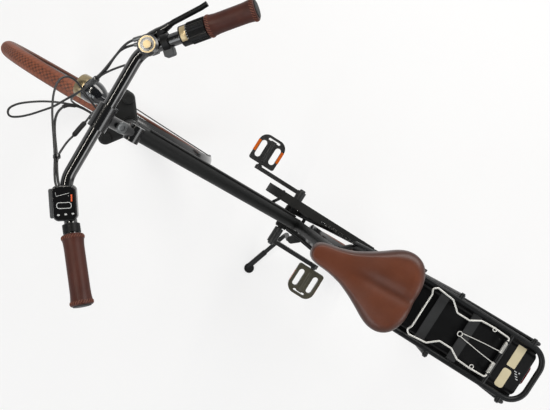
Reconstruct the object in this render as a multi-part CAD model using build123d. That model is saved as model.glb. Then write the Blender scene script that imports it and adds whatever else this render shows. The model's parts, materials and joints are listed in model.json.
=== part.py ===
from build123d import *
import math
import os

os.makedirs("parts", exist_ok=True)

# Driving dimensions, mm. The bicycle is drawn upright: x forward from the rear axle, y left, z up
wheelbase = 1136.0
wheel_radius = 355.0
tyre_half = 23.5
tyre_height = 44.0
rim_seat = wheel_radius - tyre_height
head_angle = 69.0
fork_offset = 50.0
seat_angle = 70.0
bb_x = 452.0
bb_z = 288.0
seat_tube_length = 480.0
crank_length = 170.0
crank_droop = 2.7
lean_angle = 4.73
steer_rest = 1.5

# Frame and fork
head_low = 496.0
head_high = 651.0
head_r = 19.5
top_tube_r = 19.0
down_tube_r = 22.0
seat_tube_r = 17.0
shell_r = 21.0
shell_half = 36.5
stay_r = 9.0
leg_spread = 57.0
leg_ahead = 36.0
slider_r = 19.0

# Handlebar: straight middle, then both ends swept back and up
bar_x = 888.0
bar_z = 1066.0
bar_r = 12.7
bar_bend_y = 150.0
bar_end = (724.0, 321.5, 1123.0)
bar_bend = 55.0
grip_r = 19.5
grip_flare = 21.6
shifter_r = 21.6
collar_r = 17.0
screen_size = (70.0, 46.0, 16.0)
lamp_r = 28.0

# Seat, rack and battery
saddle_top = 916.0
saddle_nose = 380.0
saddle_length = 267.0
saddle_width = 202.0
saddle_yaw = 4.5
rack_z = 822.0
rack_half = 72.0
rack_tube_r = 7.0
rack_tail = -253.0
battery_half = 60.0
battery_low = 742.0
battery_high = 814.9
battery_front = 105.0

# Drive
chain_line = -50.0
ring_teeth = 40
sprocket_teeth = 20
pitch = 12.7
spindle_r = 8.0
crank_in = 84.0
crank_out = 98.0
pedal_out = 205.0
pedal_half = 48.0
pedal_thick = 18.0

# Side stand: pivot and foot on the upright bicycle
stand_pivot = (393.0, 53.2, 252.0)
stand_knee = (413.9, 58.6, 98.8)
stand_foot = (469.0, 250.0)
stand_stowed = (-0.9, 0.179, 0.398)
stand_bend = 40.0
stand_r = 8.0

# Clearances
running = 0.15
bead_gap = 0.3
guard_gap = 11.0
press = 0.05

rad = math.radians
sin_h = math.sin(rad(head_angle))
cos_h = math.cos(rad(head_angle))
up = (-cos_h, 0, sin_h)
fwd = (sin_h, 0, cos_h)
foot_x = wheelbase - fork_offset * sin_h
foot_z = wheel_radius - fork_offset * cos_h
steer_plane = Plane(origin=(foot_x, 0, foot_z), x_dir=fwd, z_dir=up)
fork_place = Location(steer_plane)
nodes = {}


def add(body, name, shape):
    nodes[name] = (body, shape)


def rod(p, q, r):
    a = Vector(*p)
    b = Vector(*q)
    low = (Align.CENTER, Align.CENTER, Align.MIN)
    return Plane(origin=a, z_dir=b - a) * Cylinder(r, (b - a).length, align=low)


def bent_rod(points, bend, r):
    path = FilletPolyline(*points, radius=bend)
    return sweep(Plane(origin=path @ 0, z_dir=path % 0) * Circle(r), path=path)


def cross(x, z, y0, y1, r):
    return rod((x, y0, z), (x, y1, z), r)


def ring_of(points):
    return revolve(make_face(Polyline(*points, close=True)), axis=Axis.Y)


def in_fork(f, y, s):
    p = fork_place * Pos(f, y, s)
    return tuple(p.position)


def on_axis(z):
    s = (z - foot_z) / sin_h
    return in_fork(0, 0, s)


def mirror_y(shape):
    return mirror(shape, about=Plane.XZ)


# Chain path: upper run, round the sprocket, lower run, round the ring, with a pin at every pitch
ring_r = pitch / (2 * math.sin(math.pi / ring_teeth))
sprocket_r = pitch / (2 * math.sin(math.pi / sprocket_teeth))
wheels = [(bb_x, bb_z, ring_r), (0, wheel_radius, sprocket_r)]
spans = []
for i in range(2):
    cx, cz, r1 = wheels[i]
    dx, dz, r2 = wheels[1 - i]
    span = math.hypot(dx - cx, dz - cz)
    turn = math.atan2(dz - cz, dx - cx) - math.acos((r1 - r2) / span)
    leave = (cx + r1 * math.cos(turn), cz + r1 * math.sin(turn))
    land = (dx + r2 * math.cos(turn), dz + r2 * math.sin(turn))
    spans.append((leave, land, turn))
run_length = math.dist(spans[0][0], spans[0][1])
rear_wrap = (spans[1][2] - spans[0][2]) % (2 * math.pi)
front_wrap = 2 * math.pi - rear_wrap
loop_length = 2 * run_length + rear_wrap * sprocket_r + front_wrap * ring_r
links = 2 * round(loop_length / (2 * pitch))
link_pitch = loop_length / links
first_on_sprocket = math.ceil(run_length / link_pitch) * link_pitch - run_length
ring_phase = spans[0][2]
sprocket_phase = spans[0][2] + first_on_sprocket / sprocket_r
plate_tall = 4.3
plate_waist = 3.2
plate_thick = 2.4
slot_half = 1.5
roller_r = 2.1


def on_loop(s, out):
    for i in range(2):
        leave, land, turn = spans[i]
        if s <= run_length:
            t = s / run_length
            x = leave[0] + (land[0] - leave[0]) * t + out * math.cos(turn)
            z = leave[1] + (land[1] - leave[1]) * t + out * math.sin(turn)
            return x, z
        s = s - run_length
        cx, cz, r = wheels[1 - i]
        wrap = rear_wrap if i == 0 else front_wrap
        if s <= wrap * r or i == 1:
            turn = turn + s / r
            return cx + (r + out) * math.cos(turn), cz + (r + out) * math.sin(turn)
        s = s - wrap * r


# Wheels: tyre seated in the rim, wire spokes to a flanged hub
tyre_mid = wheel_radius - tyre_half
flange_top = rim_seat + 6.2
tyre_foot = flange_top + 0.4
tyre_foot_half = math.sqrt(tyre_half ** 2 - (tyre_mid - tyre_foot) ** 2)
well_half = 9.6
bead_half = well_half - bead_gap
rim_half = 12.5
rim_inner = rim_seat - 18.0


def tyre():
    lines = [
        Line((tyre_foot, tyre_foot_half), (tyre_foot, bead_half)),
        Line((tyre_foot, bead_half), (rim_seat + bead_gap, bead_half)),
        Line((rim_seat + bead_gap, bead_half), (rim_seat + bead_gap, -bead_half)),
        Line((rim_seat + bead_gap, -bead_half), (tyre_foot, -bead_half)),
        Line((tyre_foot, -bead_half), (tyre_foot, -tyre_foot_half)),
        ThreePointArc((tyre_foot, -tyre_foot_half), (wheel_radius, 0), (tyre_foot, tyre_foot_half)),
    ]
    return revolve(make_face(lines), axis=Axis.Y)


def rim():
    half = [
        (flange_top, rim_half),
        (flange_top, well_half),
        (rim_seat, well_half),
    ]
    inner = [
        (rim_inner + 10, rim_half),
        (rim_inner, 7),
    ]
    outline = half + [(r, -y) for r, y in reversed(half)] + [(r, -y) for r, y in inner]
    outline = outline + [(r, y) for r, y in reversed(inner)]
    return ring_of(outline)


def spokes(flange_r, flange_y, count, sweep_deg):
    wires = []
    per_side = count // 2
    for side in (1, -1):
        for k in range(per_side):
            lean = 1 if k % 2 else -1
            turn = rad(360 * k / per_side + (0 if side > 0 else 180 / per_side))
            tip = turn + lean * rad(sweep_deg)
            shift = 1.7 * lean
            r0 = flange_r + 0.2
            r1 = rim_inner - 0.2
            a = (r0 * math.cos(turn), side * flange_y + shift, r0 * math.sin(turn))
            b = (r1 * math.cos(tip), side * 2.5 + shift, r1 * math.sin(tip))
            wires.append(rod(a, b, 1.1))
    return Compound(children=wires)


# Hub profiles from the axle end inward: radius, half width
motor_half = [
    (6 + running, 35),
    (18, 35),
    (22, 31),
    (50, 29),
    (60, 26),
    (60, 24),
    (68, 24),
    (68, 20),
    (61, 20),
]
gear_half = [
    (5 + running, 56),
    (13, 56),
    (16, 48),
    (33, 46),
    (38, 31),
    (38, 27),
    (31, 26),
    (30, 22),
]


def hub(half):
    return ring_of(half + [(r, -y) for r, y in reversed(half)])


front_axle_at = Pos(wheelbase, 0, wheel_radius)
rear_axle_at = Pos(0, 0, wheel_radius)
add("front_wheel", "front_tyre", front_axle_at * tyre())
add("front_wheel", "front_rim", front_axle_at * rim())
add("front_wheel", "front_spokes", front_axle_at * spokes(68, 22, 36, 24))
add("front_wheel", "hub_motor", front_axle_at * hub(motor_half))
add("rear_wheel", "rear_tyre", rear_axle_at * tyre())
add("rear_wheel", "rear_rim", rear_axle_at * rim())
add("rear_wheel", "rear_spokes", rear_axle_at * spokes(38, 29, 36, 40))


# One tooth from valley to valley: share of the pitch, reach from the pitch circle
tooth_form = [(0.14, -3.6), (0.36, -1.0), (0.45, 3.4), (0.55, 3.4), (0.64, -1.0), (0.86, -3.6)]


def toothed(teeth, thick, phase):
    r = pitch / (2 * math.sin(math.pi / teeth))
    points = []
    for k in range(teeth):
        for part, reach in tooth_form:
            turn = phase + 2 * math.pi * (k + part) / teeth
            points.append(((r + reach) * math.cos(turn), (r + reach) * math.sin(turn)))
    disc = extrude(make_face(Polyline(*points, close=True)), amount=thick / 2, both=True)
    return Rot(90, 0, 0) * disc


gear_hub = hub(gear_half)
sprocket = Pos(0, chain_line, 0) * toothed(sprocket_teeth, 2.2, sprocket_phase)
sprocket = sprocket - Pos(0, chain_line, 0) * Rot(90, 0, 0) * Cylinder(20, 12)
carrier = ring_of([(15, -47.5), (21, -47.5), (21, -52.5), (13, -52.5)])
add("rear_wheel", "gear_hub", rear_axle_at * (gear_hub + sprocket + carrier))

# Head tube, main tubes, seat tube with the bottom bracket shell
head_tube = Pos(0, 0, (head_low + head_high) / 2) * Cylinder(head_r, head_high - head_low)
for end in (head_low + 7, head_high - 7):
    head_tube = head_tube + Pos(0, 0, end) * Cylinder(head_r + 2, 14)
head_tube = head_tube - Pos(0, 0, (head_low + head_high) / 2) * Cylinder(head_r - 2.5, 400)
add("frame", "head_tube", fork_place * head_tube)
cups = Pos(0, 0, head_low - 5.75) * Cylinder(head_r + 1.5, 11.5)
cups = cups + Pos(0, 0, head_high + 5) * Cylinder(head_r + 0.5, 10)
steerer_r = 14.2
cups = cups - Pos(0, 0, 570) * Cylinder(steerer_r + running, 400)
add("frame", "headset_cups", fork_place * cups)
head_solid = Pos(0, 0, (head_low + head_high) / 2) * Cylinder(head_r + 0.05, 260)
head_solid = head_solid + Pos(0, 0, head_low) * Cylinder(head_r + 2.05, 28)
head_solid = fork_place * head_solid

cos_s = math.cos(rad(seat_angle))
sin_s = math.sin(rad(seat_angle))


def on_seat(z):
    return (bb_x - (z - bb_z) * cos_s / sin_s, 0, z)


seat_top_z = bb_z + seat_tube_length * sin_s
seat_solid = rod((bb_x, 0, bb_z), on_seat(seat_top_z), seat_tube_r)
post_r = 13.6
seat_bore = rod(on_seat(seat_top_z - 210), on_seat(seat_top_z + 40), post_r + 0.1)
shell = cross(bb_x, bb_z, -shell_half, shell_half, shell_r)
shell_bore = cross(bb_x, bb_z, -60, 60, spindle_r + running)
shell_well = cross(bb_x, bb_z, -24, 24, 17)
seat_tube = seat_solid + shell - shell_bore - shell_well - seat_bore
for side in (1, -1):
    cup = cross(bb_x, bb_z, side * shell_half, side * (shell_half + 4), 19)
    seat_tube = seat_tube + (cup - shell_bore)
add("frame", "seat_tube", seat_tube)

top_head = on_axis(885)
top_tube = rod(top_head, on_seat(398), top_tube_r) - head_solid - seat_solid
add("frame", "top_tube", top_tube)
down_head = on_axis(836)
down_tube = rod(down_head, (bb_x, 0, bb_z), down_tube_r) - head_solid - shell - seat_solid
add("frame", "down_tube", down_tube)

# Chain stays and seat stays meet in a plate round the rear axle on each side
drop_in = 67.5
drop_out = 73.5
stay_line = [
    (bb_x - 10, 29, bb_z + 1),
    (bb_x - 70, 35, bb_z + 6),
    (bb_x - 132, 43, bb_z + 15),
    (24, 70, wheel_radius - 5),
]


def stay_z(x):
    near = stay_line[2]
    far = stay_line[3]
    return near[2] + (far[2] - near[2]) * (near[0] - x) / (near[0] - far[0])


lower = []
upper = []
for side in (1, -1):
    points = [(x, side * y, z) for x, y, z in stay_line]
    stay = bent_rod(points, 60, stay_r)
    plate = cross(0, wheel_radius, side * drop_in, side * drop_out, 19)
    drop_mid = side * (drop_in + drop_out) / 2
    tongue = Pos(22, drop_mid, wheel_radius + 4) * Box(44, drop_out - drop_in, 34)
    stay = stay + plate + tongue - cross(bb_x, bb_z, -60, 60, shell_r + 0.05)
    stay = stay - cross(0, wheel_radius, side * 60, side * 90, 5 + running)
    points = [(298, side * 16, 694), (268, side * 38, 656), (16, side * 70.5, 380)]
    riser = bent_rod(points, 30, 7.5) - seat_solid
    lower.append(stay)
    upper.append(riser)
chain_stays = lower[0] + lower[1] + cross(396, 292, -32, 32, 6)
seat_stays = []
for riser, stay in zip(upper, lower):
    seat_stays.append(riser - stay)
add("frame", "chain_stays", chain_stays)
add("frame", "seat_stays", Compound(children=seat_stays))

rear_axle = cross(0, wheel_radius, -92, 92, 5)
for side in (1, -1):
    nut = Pos(0, side * 80, wheel_radius) * Rot(90, 0, 0) * extrude(RegularPolygon(9, 6), 5, both=True)
    rear_axle = rear_axle + nut
    rear_axle = rear_axle + cross(0, wheel_radius, side * 73.6, side * 75.5, 11)
add("frame", "rear_axle", rear_axle)

# Seat clamp, post, rails and saddle
low = (Align.CENTER, Align.CENTER, Align.MIN)
seat_plane = Plane(origin=on_seat(seat_top_z), x_dir=(sin_s, 0, cos_s), z_dir=(-cos_s, 0, sin_s))
clamp = Pos(0, 0, -14) * Cylinder(seat_tube_r + 5, 20, align=low)
clamp = clamp + Pos(-seat_tube_r - 8, 0, -4) * Box(18, 20, 16)
clamp = clamp + Pos(-seat_tube_r - 10, 0, -4) * Rot(90, 0, 0) * Cylinder(4.5, 32)
clamp = clamp - Pos(0, 0, -14) * Cylinder(seat_tube_r + 0.05, 14, align=low)
clamp = clamp - Cylinder(post_r + 0.1, 40)
add("frame", "seat_clamp", Location(seat_plane) * clamp)
post_top_z = saddle_top - 54
post = rod(on_seat(seat_top_z - 120), on_seat(post_top_z), post_r)
head_at = Pos(*on_seat(post_top_z + 2))
seat_turn = head_at * Rot(0, 0, saddle_yaw) * head_at.inverse()
post = post + head_at * Rot(0, 0, saddle_yaw) * Box(44, 56, 14)
rail_z = saddle_top - 48
rails = []
for side in (1, -1):
    points = [
        (saddle_nose - 46, side * 7, rail_z + 8),
        (saddle_nose - 80, side * 21, rail_z),
        (saddle_nose - 190, side * 21, rail_z),
        (saddle_nose - 238, side * 38, rail_z + 16),
    ]
    rail = seat_turn * bent_rod(points, 30, 3.5)
    rails.append(rail)
    post = post - rail
add("frame", "seat_post", post)
add("frame", "saddle_rails", Compound(children=rails))

nose_half = 24.0
back = saddle_nose - saddle_length
half = saddle_width / 2
flare_x = back + 82
plan = [
    Line((saddle_nose, -nose_half + 14), (saddle_nose, nose_half - 14)),
    TangentArc((saddle_nose, nose_half - 14), (saddle_nose - 16, nose_half + 1), tangent=(0, 1)),
    Line((saddle_nose - 16, nose_half + 1), (saddle_nose - 92, nose_half + 14)),
    ThreePointArc((saddle_nose - 92, nose_half + 14), (flare_x + 30, half - 28), (flare_x - 20, half)),
    ThreePointArc((flare_x - 20, half), (back + 20, half - 16), (back, half - 52)),
    Line((back, half - 52), (back, -half + 52)),
    ThreePointArc((back, -half + 52), (back + 20, -half + 16), (flare_x - 20, -half)),
    ThreePointArc((flare_x - 20, -half), (flare_x + 30, -half + 28), (saddle_nose - 92, -nose_half - 14)),
    Line((saddle_nose - 92, -nose_half - 14), (saddle_nose - 16, -nose_half - 1)),
    TangentArc((saddle_nose, -nose_half + 14), (saddle_nose - 16, -nose_half - 1), tangent=(0, -1)),
]
saddle_plan = extrude(Pos(0, 0, saddle_top - 66) * make_face(plan), amount=100)
skirt_mid = (saddle_nose - 190, saddle_top - 42)
skirt = [(saddle_nose + 5, saddle_top - 32), skirt_mid, (back - 5, saddle_top - 50)]
crown_line = [(saddle_nose + 5, saddle_top - 9), (saddle_nose - 130, saddle_top - 11), (back - 5, saddle_top)]
side_line = [
    Line(skirt[0], crown_line[0]),
    ThreePointArc(*crown_line),
    Line(crown_line[2], skirt[2]),
    Line(skirt[2], skirt[1]),
    Line(skirt[1], skirt[0]),
]
side_face = Plane.XZ * make_face(side_line)
saddle = saddle_plan & extrude(side_face, amount=150, both=True)
top_edges = saddle.edges().filter_by(lambda e: e.center().Z > saddle_top - 18)
saddle = fillet(top_edges, 13)
channel_r = 24.0
channel_from = (back + 12, 0, saddle_top + channel_r - 6)
channel_to = (saddle_nose - 96, 0, saddle_top - 11 + channel_r - 1)
saddle = seat_turn * (saddle - rod(channel_from, channel_to, channel_r))
saddle = saddle - Pos(0, 0, -1) * nodes["saddle_rails"][1] - nodes["saddle_rails"][1]
add("frame", "saddle", saddle)

# Rack: U shaped tube with a tail loop, cross bars, and struts down to the rear axle plates
tube_line = [
    (262, -52, 660),
    (214, -58, 760),
    (128, -rack_half, rack_z),
    (rack_tail, -rack_half, rack_z),
    (rack_tail, rack_half, rack_z),
    (128, rack_half, rack_z),
    (214, 58, 760),
    (262, 52, 660),
]
rack = bent_rod(tube_line, 44, rack_tube_r)
for x in (36, -56):
    rack = rack + Pos(x, 0, rack_z + 1) * Box(14, 2 * rack_half, 3)
rack = rack + cross(-152, rack_z - 1, -rack_half, rack_half, 6)
struts = []
for side in (1, -1):
    eye = (-2, side * 82, wheel_radius + 24)
    strut = rod((2, side * 84, rack_z), eye, 5)
    strut = strut + bent_rod([(-205, side * 84, rack_z), (-232, side * 84, rack_z - 6), eye], 18, 5)
    for x in (2, -205):
        strut = strut + cross(x, rack_z, side * (rack_half + 2), side * 88, 6.5)
    strut = strut + cross(eye[0], eye[2], side * 74, side * 88, 6.5)
    struts.append(strut - rack - nodes["chain_stays"][1] - nodes["seat_stays"][1])
    rack = rack + cross(262, 660, side * 44, side * 56, 6)
ear_y = (42.5, -48.5)
for y in ear_y:
    rack = rack + Pos(-147, y, rack_z + 8) * Box(12, 3, 22)
    rack = rack - cross(-143, rack_z + 14, y - 5, y + 5, 2.2 + running)
rack = rack - nodes["seat_stays"][1]
add("frame", "rack", rack)
add("frame", "rack_struts", Compound(children=struts))

battery_tail = rack_tail + 16
battery_at = Pos((battery_front + battery_tail) / 2, 0, (battery_low + battery_high) / 2)
case = battery_at * Box(battery_front - battery_tail, 2 * battery_half, battery_high - battery_low)
case = fillet(case.edges().filter_by(Axis.X), 14)
case = fillet(case.edges().filter_by(Axis.Z), 8)
add("frame", "battery", case)
lamp = Pos(battery_tail - 5, 0, 780) * Box(9.6, 52, 34)
lamp = fillet(lamp.edges().filter_by(Axis.X), 10)
add("frame", "tail_lamp", lamp)


# Mudguards: a bowed strip swept round the axle, with wire stays
def strip(reach, half_width, bow, thick, first, last):
    low_r = reach - thick
    lip = half_width - 1
    outer = ThreePointArc((reach, -half_width), (reach + bow, 0), (reach, half_width))
    left_edge = Line((reach, half_width), (low_r, lip))
    inner = ThreePointArc((low_r, lip), (low_r + bow, 0), (low_r, -lip))
    right_edge = Line((low_r, -lip), (reach, -half_width))
    face = make_face([outer, left_edge, inner, right_edge])
    turned = revolve(face, axis=Axis((0, 0, 0), (0, -1, 0)), revolution_arc=last - first)
    return Rot(0, -first, 0) * turned


guard_r = wheel_radius + guard_gap
rear_guard = rear_axle_at * strip(guard_r, 28, 11, 2, -7, 196)
for side in (1, -1):
    turn = rad(158)
    edge = (guard_r * math.cos(turn), side * 27.4, wheel_radius + guard_r * math.sin(turn))
    rear_guard = rear_guard + rod((-12, side * 65, wheel_radius + 10), edge, 2.2)
    rear_guard = rear_guard + cross(-12, wheel_radius + 10, side * 62.6, side * 67.4, 4)
add("frame", "rear_mudguard", rear_guard)

front_guard = front_axle_at * strip(guard_r, 28, 11, 2, 180 - head_angle + 4, 206)
flap_turn = rad(206)
flap_r = guard_r + 3
flap_at = (wheelbase + flap_r * math.cos(flap_turn), 0, wheel_radius + flap_r * math.sin(flap_turn))
flap_face = Polyline((-24, 12), (24, 12), (33, -52), (-33, -52), close=True)
flap = extrude(fillet(make_face(flap_face).vertices().group_by(Axis.Y)[0], 12), amount=1.5, both=True)
flap_plane = Plane(origin=flap_at, x_dir=(0, 1, 0), z_dir=(-math.cos(rad(20)), 0, -math.sin(rad(20))))
front_guard = front_guard + Location(flap_plane) * flap
hanger = in_fork(-2, 0, guard_r + 4)
front_guard = front_guard + rod(hanger, in_fork(-6, 0, 431.8), 5)
for side in (1, -1):
    turn = rad(187)
    edge = (wheelbase + guard_r * math.cos(turn), side * 27.4, wheel_radius + guard_r * math.sin(turn))
    bend = in_fork(13, side * 40, 26)
    front_guard = front_guard + rod(bend, edge, 2.0)
    front_guard = front_guard + rod(in_fork(20, side * 45, 26), in_fork(10, side * 38, 26), 4)

# Fork: crown, stanchions in sliders, arch over the tyre and plates for the axle
crown_face = Circle(22)
shoulder_r = 17.5
for side in (1, -1):
    crown_face = crown_face + Pos(leg_ahead, side * leg_spread) * Circle(shoulder_r)
crown = Pos(0, 0, 432) * extrude(make_hull(crown_face.edges()), amount=46)
crown = fillet(crown.edges().group_by(Axis.Z)[-1], 9)
crown = crown + Pos(0, 0, 478) * Cylinder(20, 5.8, align=low)
crown = crown + Pos(0, 0, 478) * Cylinder(steerer_r, head_high + 21 - 478, align=low)
crown = crown + Pos(0, 0, head_high + 10.3) * Cylinder(18, 11, align=low)
crown = crown - Pos(0, 0, 560) * Cylinder(11.2, 140, align=low)
add("steering", "fork_crown", fork_place * crown)
legs = None
for side in (1, -1):
    leg = Pos(leg_ahead, side * leg_spread, 280) * Cylinder(14, 151.8, align=low)
    leg = leg + Pos(leg_ahead, side * leg_spread, -20) * Cylinder(slider_r, 318, align=low)
    leg = leg + Pos(leg_ahead, side * leg_spread, 298) * Cylinder(slider_r - 2, 9, align=low)
    leg = leg + Pos(44, side * 54, -6) * Box(34, 8, 52)
    leg = leg - Pos(fork_offset, side * 50, 0) * Rot(90, 0, 0) * Cylinder(6 + running, 60)
    leg = leg - Pos(fork_offset, side * 70, 0) * Rot(90, 0, 0) * Cylinder(14, 24)
    legs = leg if legs is None else legs + leg
arch_line = [(52, -56, 270), (54, -54, 345), (54, -30, 379), (54, 30, 379), (54, 54, 345), (52, 56, 270)]
legs = legs + bent_rod(arch_line, 16, 8)
add("steering", "fork_legs", fork_place * legs)
axle = Rot(90, 0, 0) * Cylinder(6, 138)
for side in (1, -1):
    axle = axle + Pos(0, side * 63, 0) * Rot(90, 0, 0) * extrude(RegularPolygon(10.5, 6), 4.8, both=True)
add("steering", "front_axle", front_axle_at * axle)
front_guard = front_guard - nodes["fork_legs"][1] - nodes["fork_crown"][1]
add("steering", "front_mudguard", front_guard)

# Front rim brake: two arms with shoes either side of the rim
brake = []
for side in (1, -1):
    arm = Pos(66, side * 41, 312) * Box(11, 11, 122)
    arm = arm + Pos(66, side * 41, 258) * Rot(0, 90, 0) * Cylinder(8, 14)
    arm = arm + Pos(66, side * 29, 306) * Rot(90, 0, 0) * Cylinder(3.5, 16)
    arm = arm + Pos(60, side * 19, 306) * Box(54, 9, 11)
    brake.append(arm)
wire = Pos(66, 0, 367) * Rot(90, 0, 0) * Cylinder(1.5, 71)
brakes = (brake[0] + brake[1] + wire)
brakes = fork_place * brakes - nodes["fork_legs"][1]
add("steering", "front_brake", brakes)

# Stem, handlebar and what it carries
hinge_s = 701.0
hinge = in_fork(0, 0, hinge_s)
stem = rod(in_fork(0, 0, 640), hinge, 11)
stem = stem + cross(hinge[0], hinge[2], -18, 18, 17)
stem = stem + rod(hinge, (bar_x, 0, bar_z), 13)
stem = stem + cross(bar_x, bar_z, -26, 26, 19)
reach = (Vector(bar_x, 0, bar_z) - Vector(*hinge)).normalized()
lift = Vector(-reach.Z, 0, reach.X)
disc_at = Vector(*hinge) + reach * 50
stem = stem + rod(tuple(disc_at + lift * 8), tuple(disc_at + lift * 17), 9)
stem = stem - cross(bar_x, bar_z, -40, 40, bar_r + 0.05)
add("steering", "stem", stem)
bar_line = [
    (bar_end[0], -bar_end[1], bar_end[2]),
    (bar_x, -bar_bend_y, bar_z),
    (bar_x, bar_bend_y, bar_z),
    bar_end,
]
add("steering", "handlebar", bent_rod(bar_line, bar_bend, bar_r))
sweep_back = (Vector(*bar_end) - Vector(bar_x, bar_bend_y, bar_z))
bar_reach = sweep_back.length
along = sweep_back.normalized()


def on_bar(side, t):
    p = Vector(bar_x, bar_bend_y, bar_z) + along * t
    return (p.X, side * p.Y, p.Z)


def sleeve(side, t0, t1, r):
    outer = rod(on_bar(side, t0), on_bar(side, t1), r)
    return outer - rod(on_bar(side, t0 - 5), on_bar(side, t1 + 5), bar_r + press)


def bar_place(side, t):
    start = Vector(*on_bar(side, t))
    return Location(Plane(origin=start, z_dir=Vector(*on_bar(side, t + 1)) - start))


# Grips: a waisted sleeve with flared ends, closed over the bar's end
def grip(side, start):
    length = bar_reach - start
    bore = bar_r + press
    half = [
        Line((bore, 0), (grip_flare, 0)),
        Line((grip_flare, 0), (grip_flare, 5)),
        ThreePointArc((grip_flare, 5), (grip_r, length / 2), (grip_flare, length + 1)),
        Line((grip_flare, length + 1), (grip_flare - 4, length + 9)),
        Line((grip_flare - 4, length + 9), (0, length + 9)),
        Line((0, length + 9), (0, length + press)),
        Line((0, length + press), (bore, length + press)),
        Line((bore, length + press), (bore, 0)),
    ]
    turned = revolve(make_face(half), axis=Axis.Y)
    return bar_place(side, start) * Rot(90, 0, 0) * turned


shifter_start = 94.0
shifter_end = 148.0
add("steering", "grip_left", grip(1, 112))
add("steering", "grip_right", grip(-1, shifter_end + 1))

# Twist shifter: a smooth housing, then a ring of ribs for the fingers
rib_count = 26
rib_points = []
for k in range(2 * rib_count):
    turn = math.pi * k / rib_count
    r = shifter_r if k % 2 else shifter_r - 1.4
    rib_points.append((r * math.cos(turn), r * math.sin(turn)))
ribbed = make_face(Polyline(*rib_points, close=True)) - Circle(bar_r + press)
shifter = bar_place(-1, shifter_start + 18) * extrude(ribbed, amount=shifter_end - shifter_start - 18)
shifter = shifter + sleeve(-1, shifter_start, shifter_start + 18.5, shifter_r - 1.6)
add("steering", "twist_shifter", shifter)

# Brake lever: clamp, body and a blade that opens outward ahead of the bar
ahead = Vector(along.Y, along.X, 0).normalized()


def by_bar(t, out, drop):
    return tuple(Vector(*on_bar(-1, t)) + ahead * out - Vector(0, 0, drop))


lever = sleeve(-1, 53, 67, 17)
lever = lever + rod(by_bar(60, 13, 1), by_bar(48, 26, 8), 9)
blade = [by_bar(48, 26, 8), by_bar(84, 35, 8), by_bar(146, 43, 10), by_bar(160, 46, 10)]
lever = lever + bent_rod(blade, 12, 5.5) - nodes["handlebar"][1]
add("steering", "brake_lever", lever)

# Bell: a stepped disc on a post, clamped where the bar runs straight again
bend_turn = math.acos(along.Y)
bell_start = bar_bend * math.tan(bend_turn / 2) + 1
bell_profile = [
    (0, 0),
    (21, 0),
    (21, 7),
    (17, 10.5),
    (17, 12),
    (12, 12),
    (12, 10.5),
    (9, 10.5),
    (9, 13),
    (0, 13),
]
disc = revolve(Plane.XZ * make_face(Polyline(*bell_profile, close=True)), axis=Axis.Z)
bell_at = Vector(*on_bar(-1, bell_start + 3)) + Vector(2, 2, 19)
bell = Pos(*bell_at) * disc
bell = bell + rod(tuple(bell_at - Vector(0, 0, 10)), tuple(bell_at + Vector(0, 0, 2)), 5)
bell = bell + sleeve(-1, bell_start, bell_start + 12, 15.5) - nodes["handlebar"][1]
add("steering", "bell", bell)

screen_at = Vector(*on_bar(1, 43)) + Vector(-3, 0, 21)
screen_plane = Plane(origin=screen_at, x_dir=(-0.56, 0.81, 0.14), z_dir=(-0.2, -0.03, 0.98))
screen = Box(*screen_size)
screen = fillet(screen.edges().filter_by(Axis.Z), 11)
screen = fillet(screen.edges().group_by(Axis.Z)[-1], 3)
screen = Location(screen_plane) * screen + sleeve(1, 34, 52, 17) - nodes["handlebar"][1]
add("steering", "display", screen)
add("steering", "collar_left", sleeve(1, 90, 107, collar_r))

# Head lamp on a bracket ahead of the crown
lamp_front = 34.0
lamp_tail = -40.0
lens_r = lamp_r - 3.2
shell_line = [
    Line((lamp_tail, 0), (lamp_front, 0)),
    Line((lamp_front, 0), (lamp_front, lamp_r)),
    Line((lamp_front, lamp_r), (8, lamp_r)),
    ThreePointArc((8, lamp_r), (-26, lamp_r - 8), (lamp_tail, 6)),
    Line((lamp_tail, 6), (lamp_tail, 0)),
]
bullet = revolve(make_face(shell_line), axis=Axis.X)
bullet = bullet - Pos(lamp_front, 0, 0) * Rot(0, 90, 0) * Cylinder(lens_r + 0.2, 12)
lamp_at = Pos(*in_fork(114.4, -28, 505.5)) * Rot(0, 6, 0)
lamp_body = lamp_at * bullet
lamp_body = lamp_body + rod(in_fork(22, -14, 466), in_fork(97, -28, 492), 5)
lamp_body = lamp_body - nodes["fork_crown"][1]
add("steering", "head_lamp", lamp_body)
lens = Pos(lamp_front - 3, 0, 0) * Rot(0, 90, 0) * Cylinder(lens_r, 5.6)
add("steering", "lamp_lens", lamp_at * lens)

# Crank set: toothed ring on a spider, two arms, pedal spindles
def crank_arm(side, turn):
    tip = (crank_length * math.cos(rad(turn)), -crank_length * math.sin(rad(turn)))
    face = make_hull((Circle(14) + Pos(crank_length, 0) * Circle(12.5)).edges())
    arm = Rot(90, 0, 0) * extrude(face, amount=(crank_out - crank_in) / 2, both=True)
    arm = Pos(0, side * (crank_in + crank_out) / 2, 0) * Rot(0, turn, 0) * arm
    arm = arm + rod((0, side * 44, 0), (0, side * (crank_out + 2), 0), 15.5)
    spindle = rod((tip[0], side * crank_out, tip[1]), (tip[0], side * (pedal_out - 16), tip[1]), 6)
    collar = rod((tip[0], side * crank_out, tip[1]), (tip[0], side * (crank_out + 4), tip[1]), 9)
    return arm + spindle + collar


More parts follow.
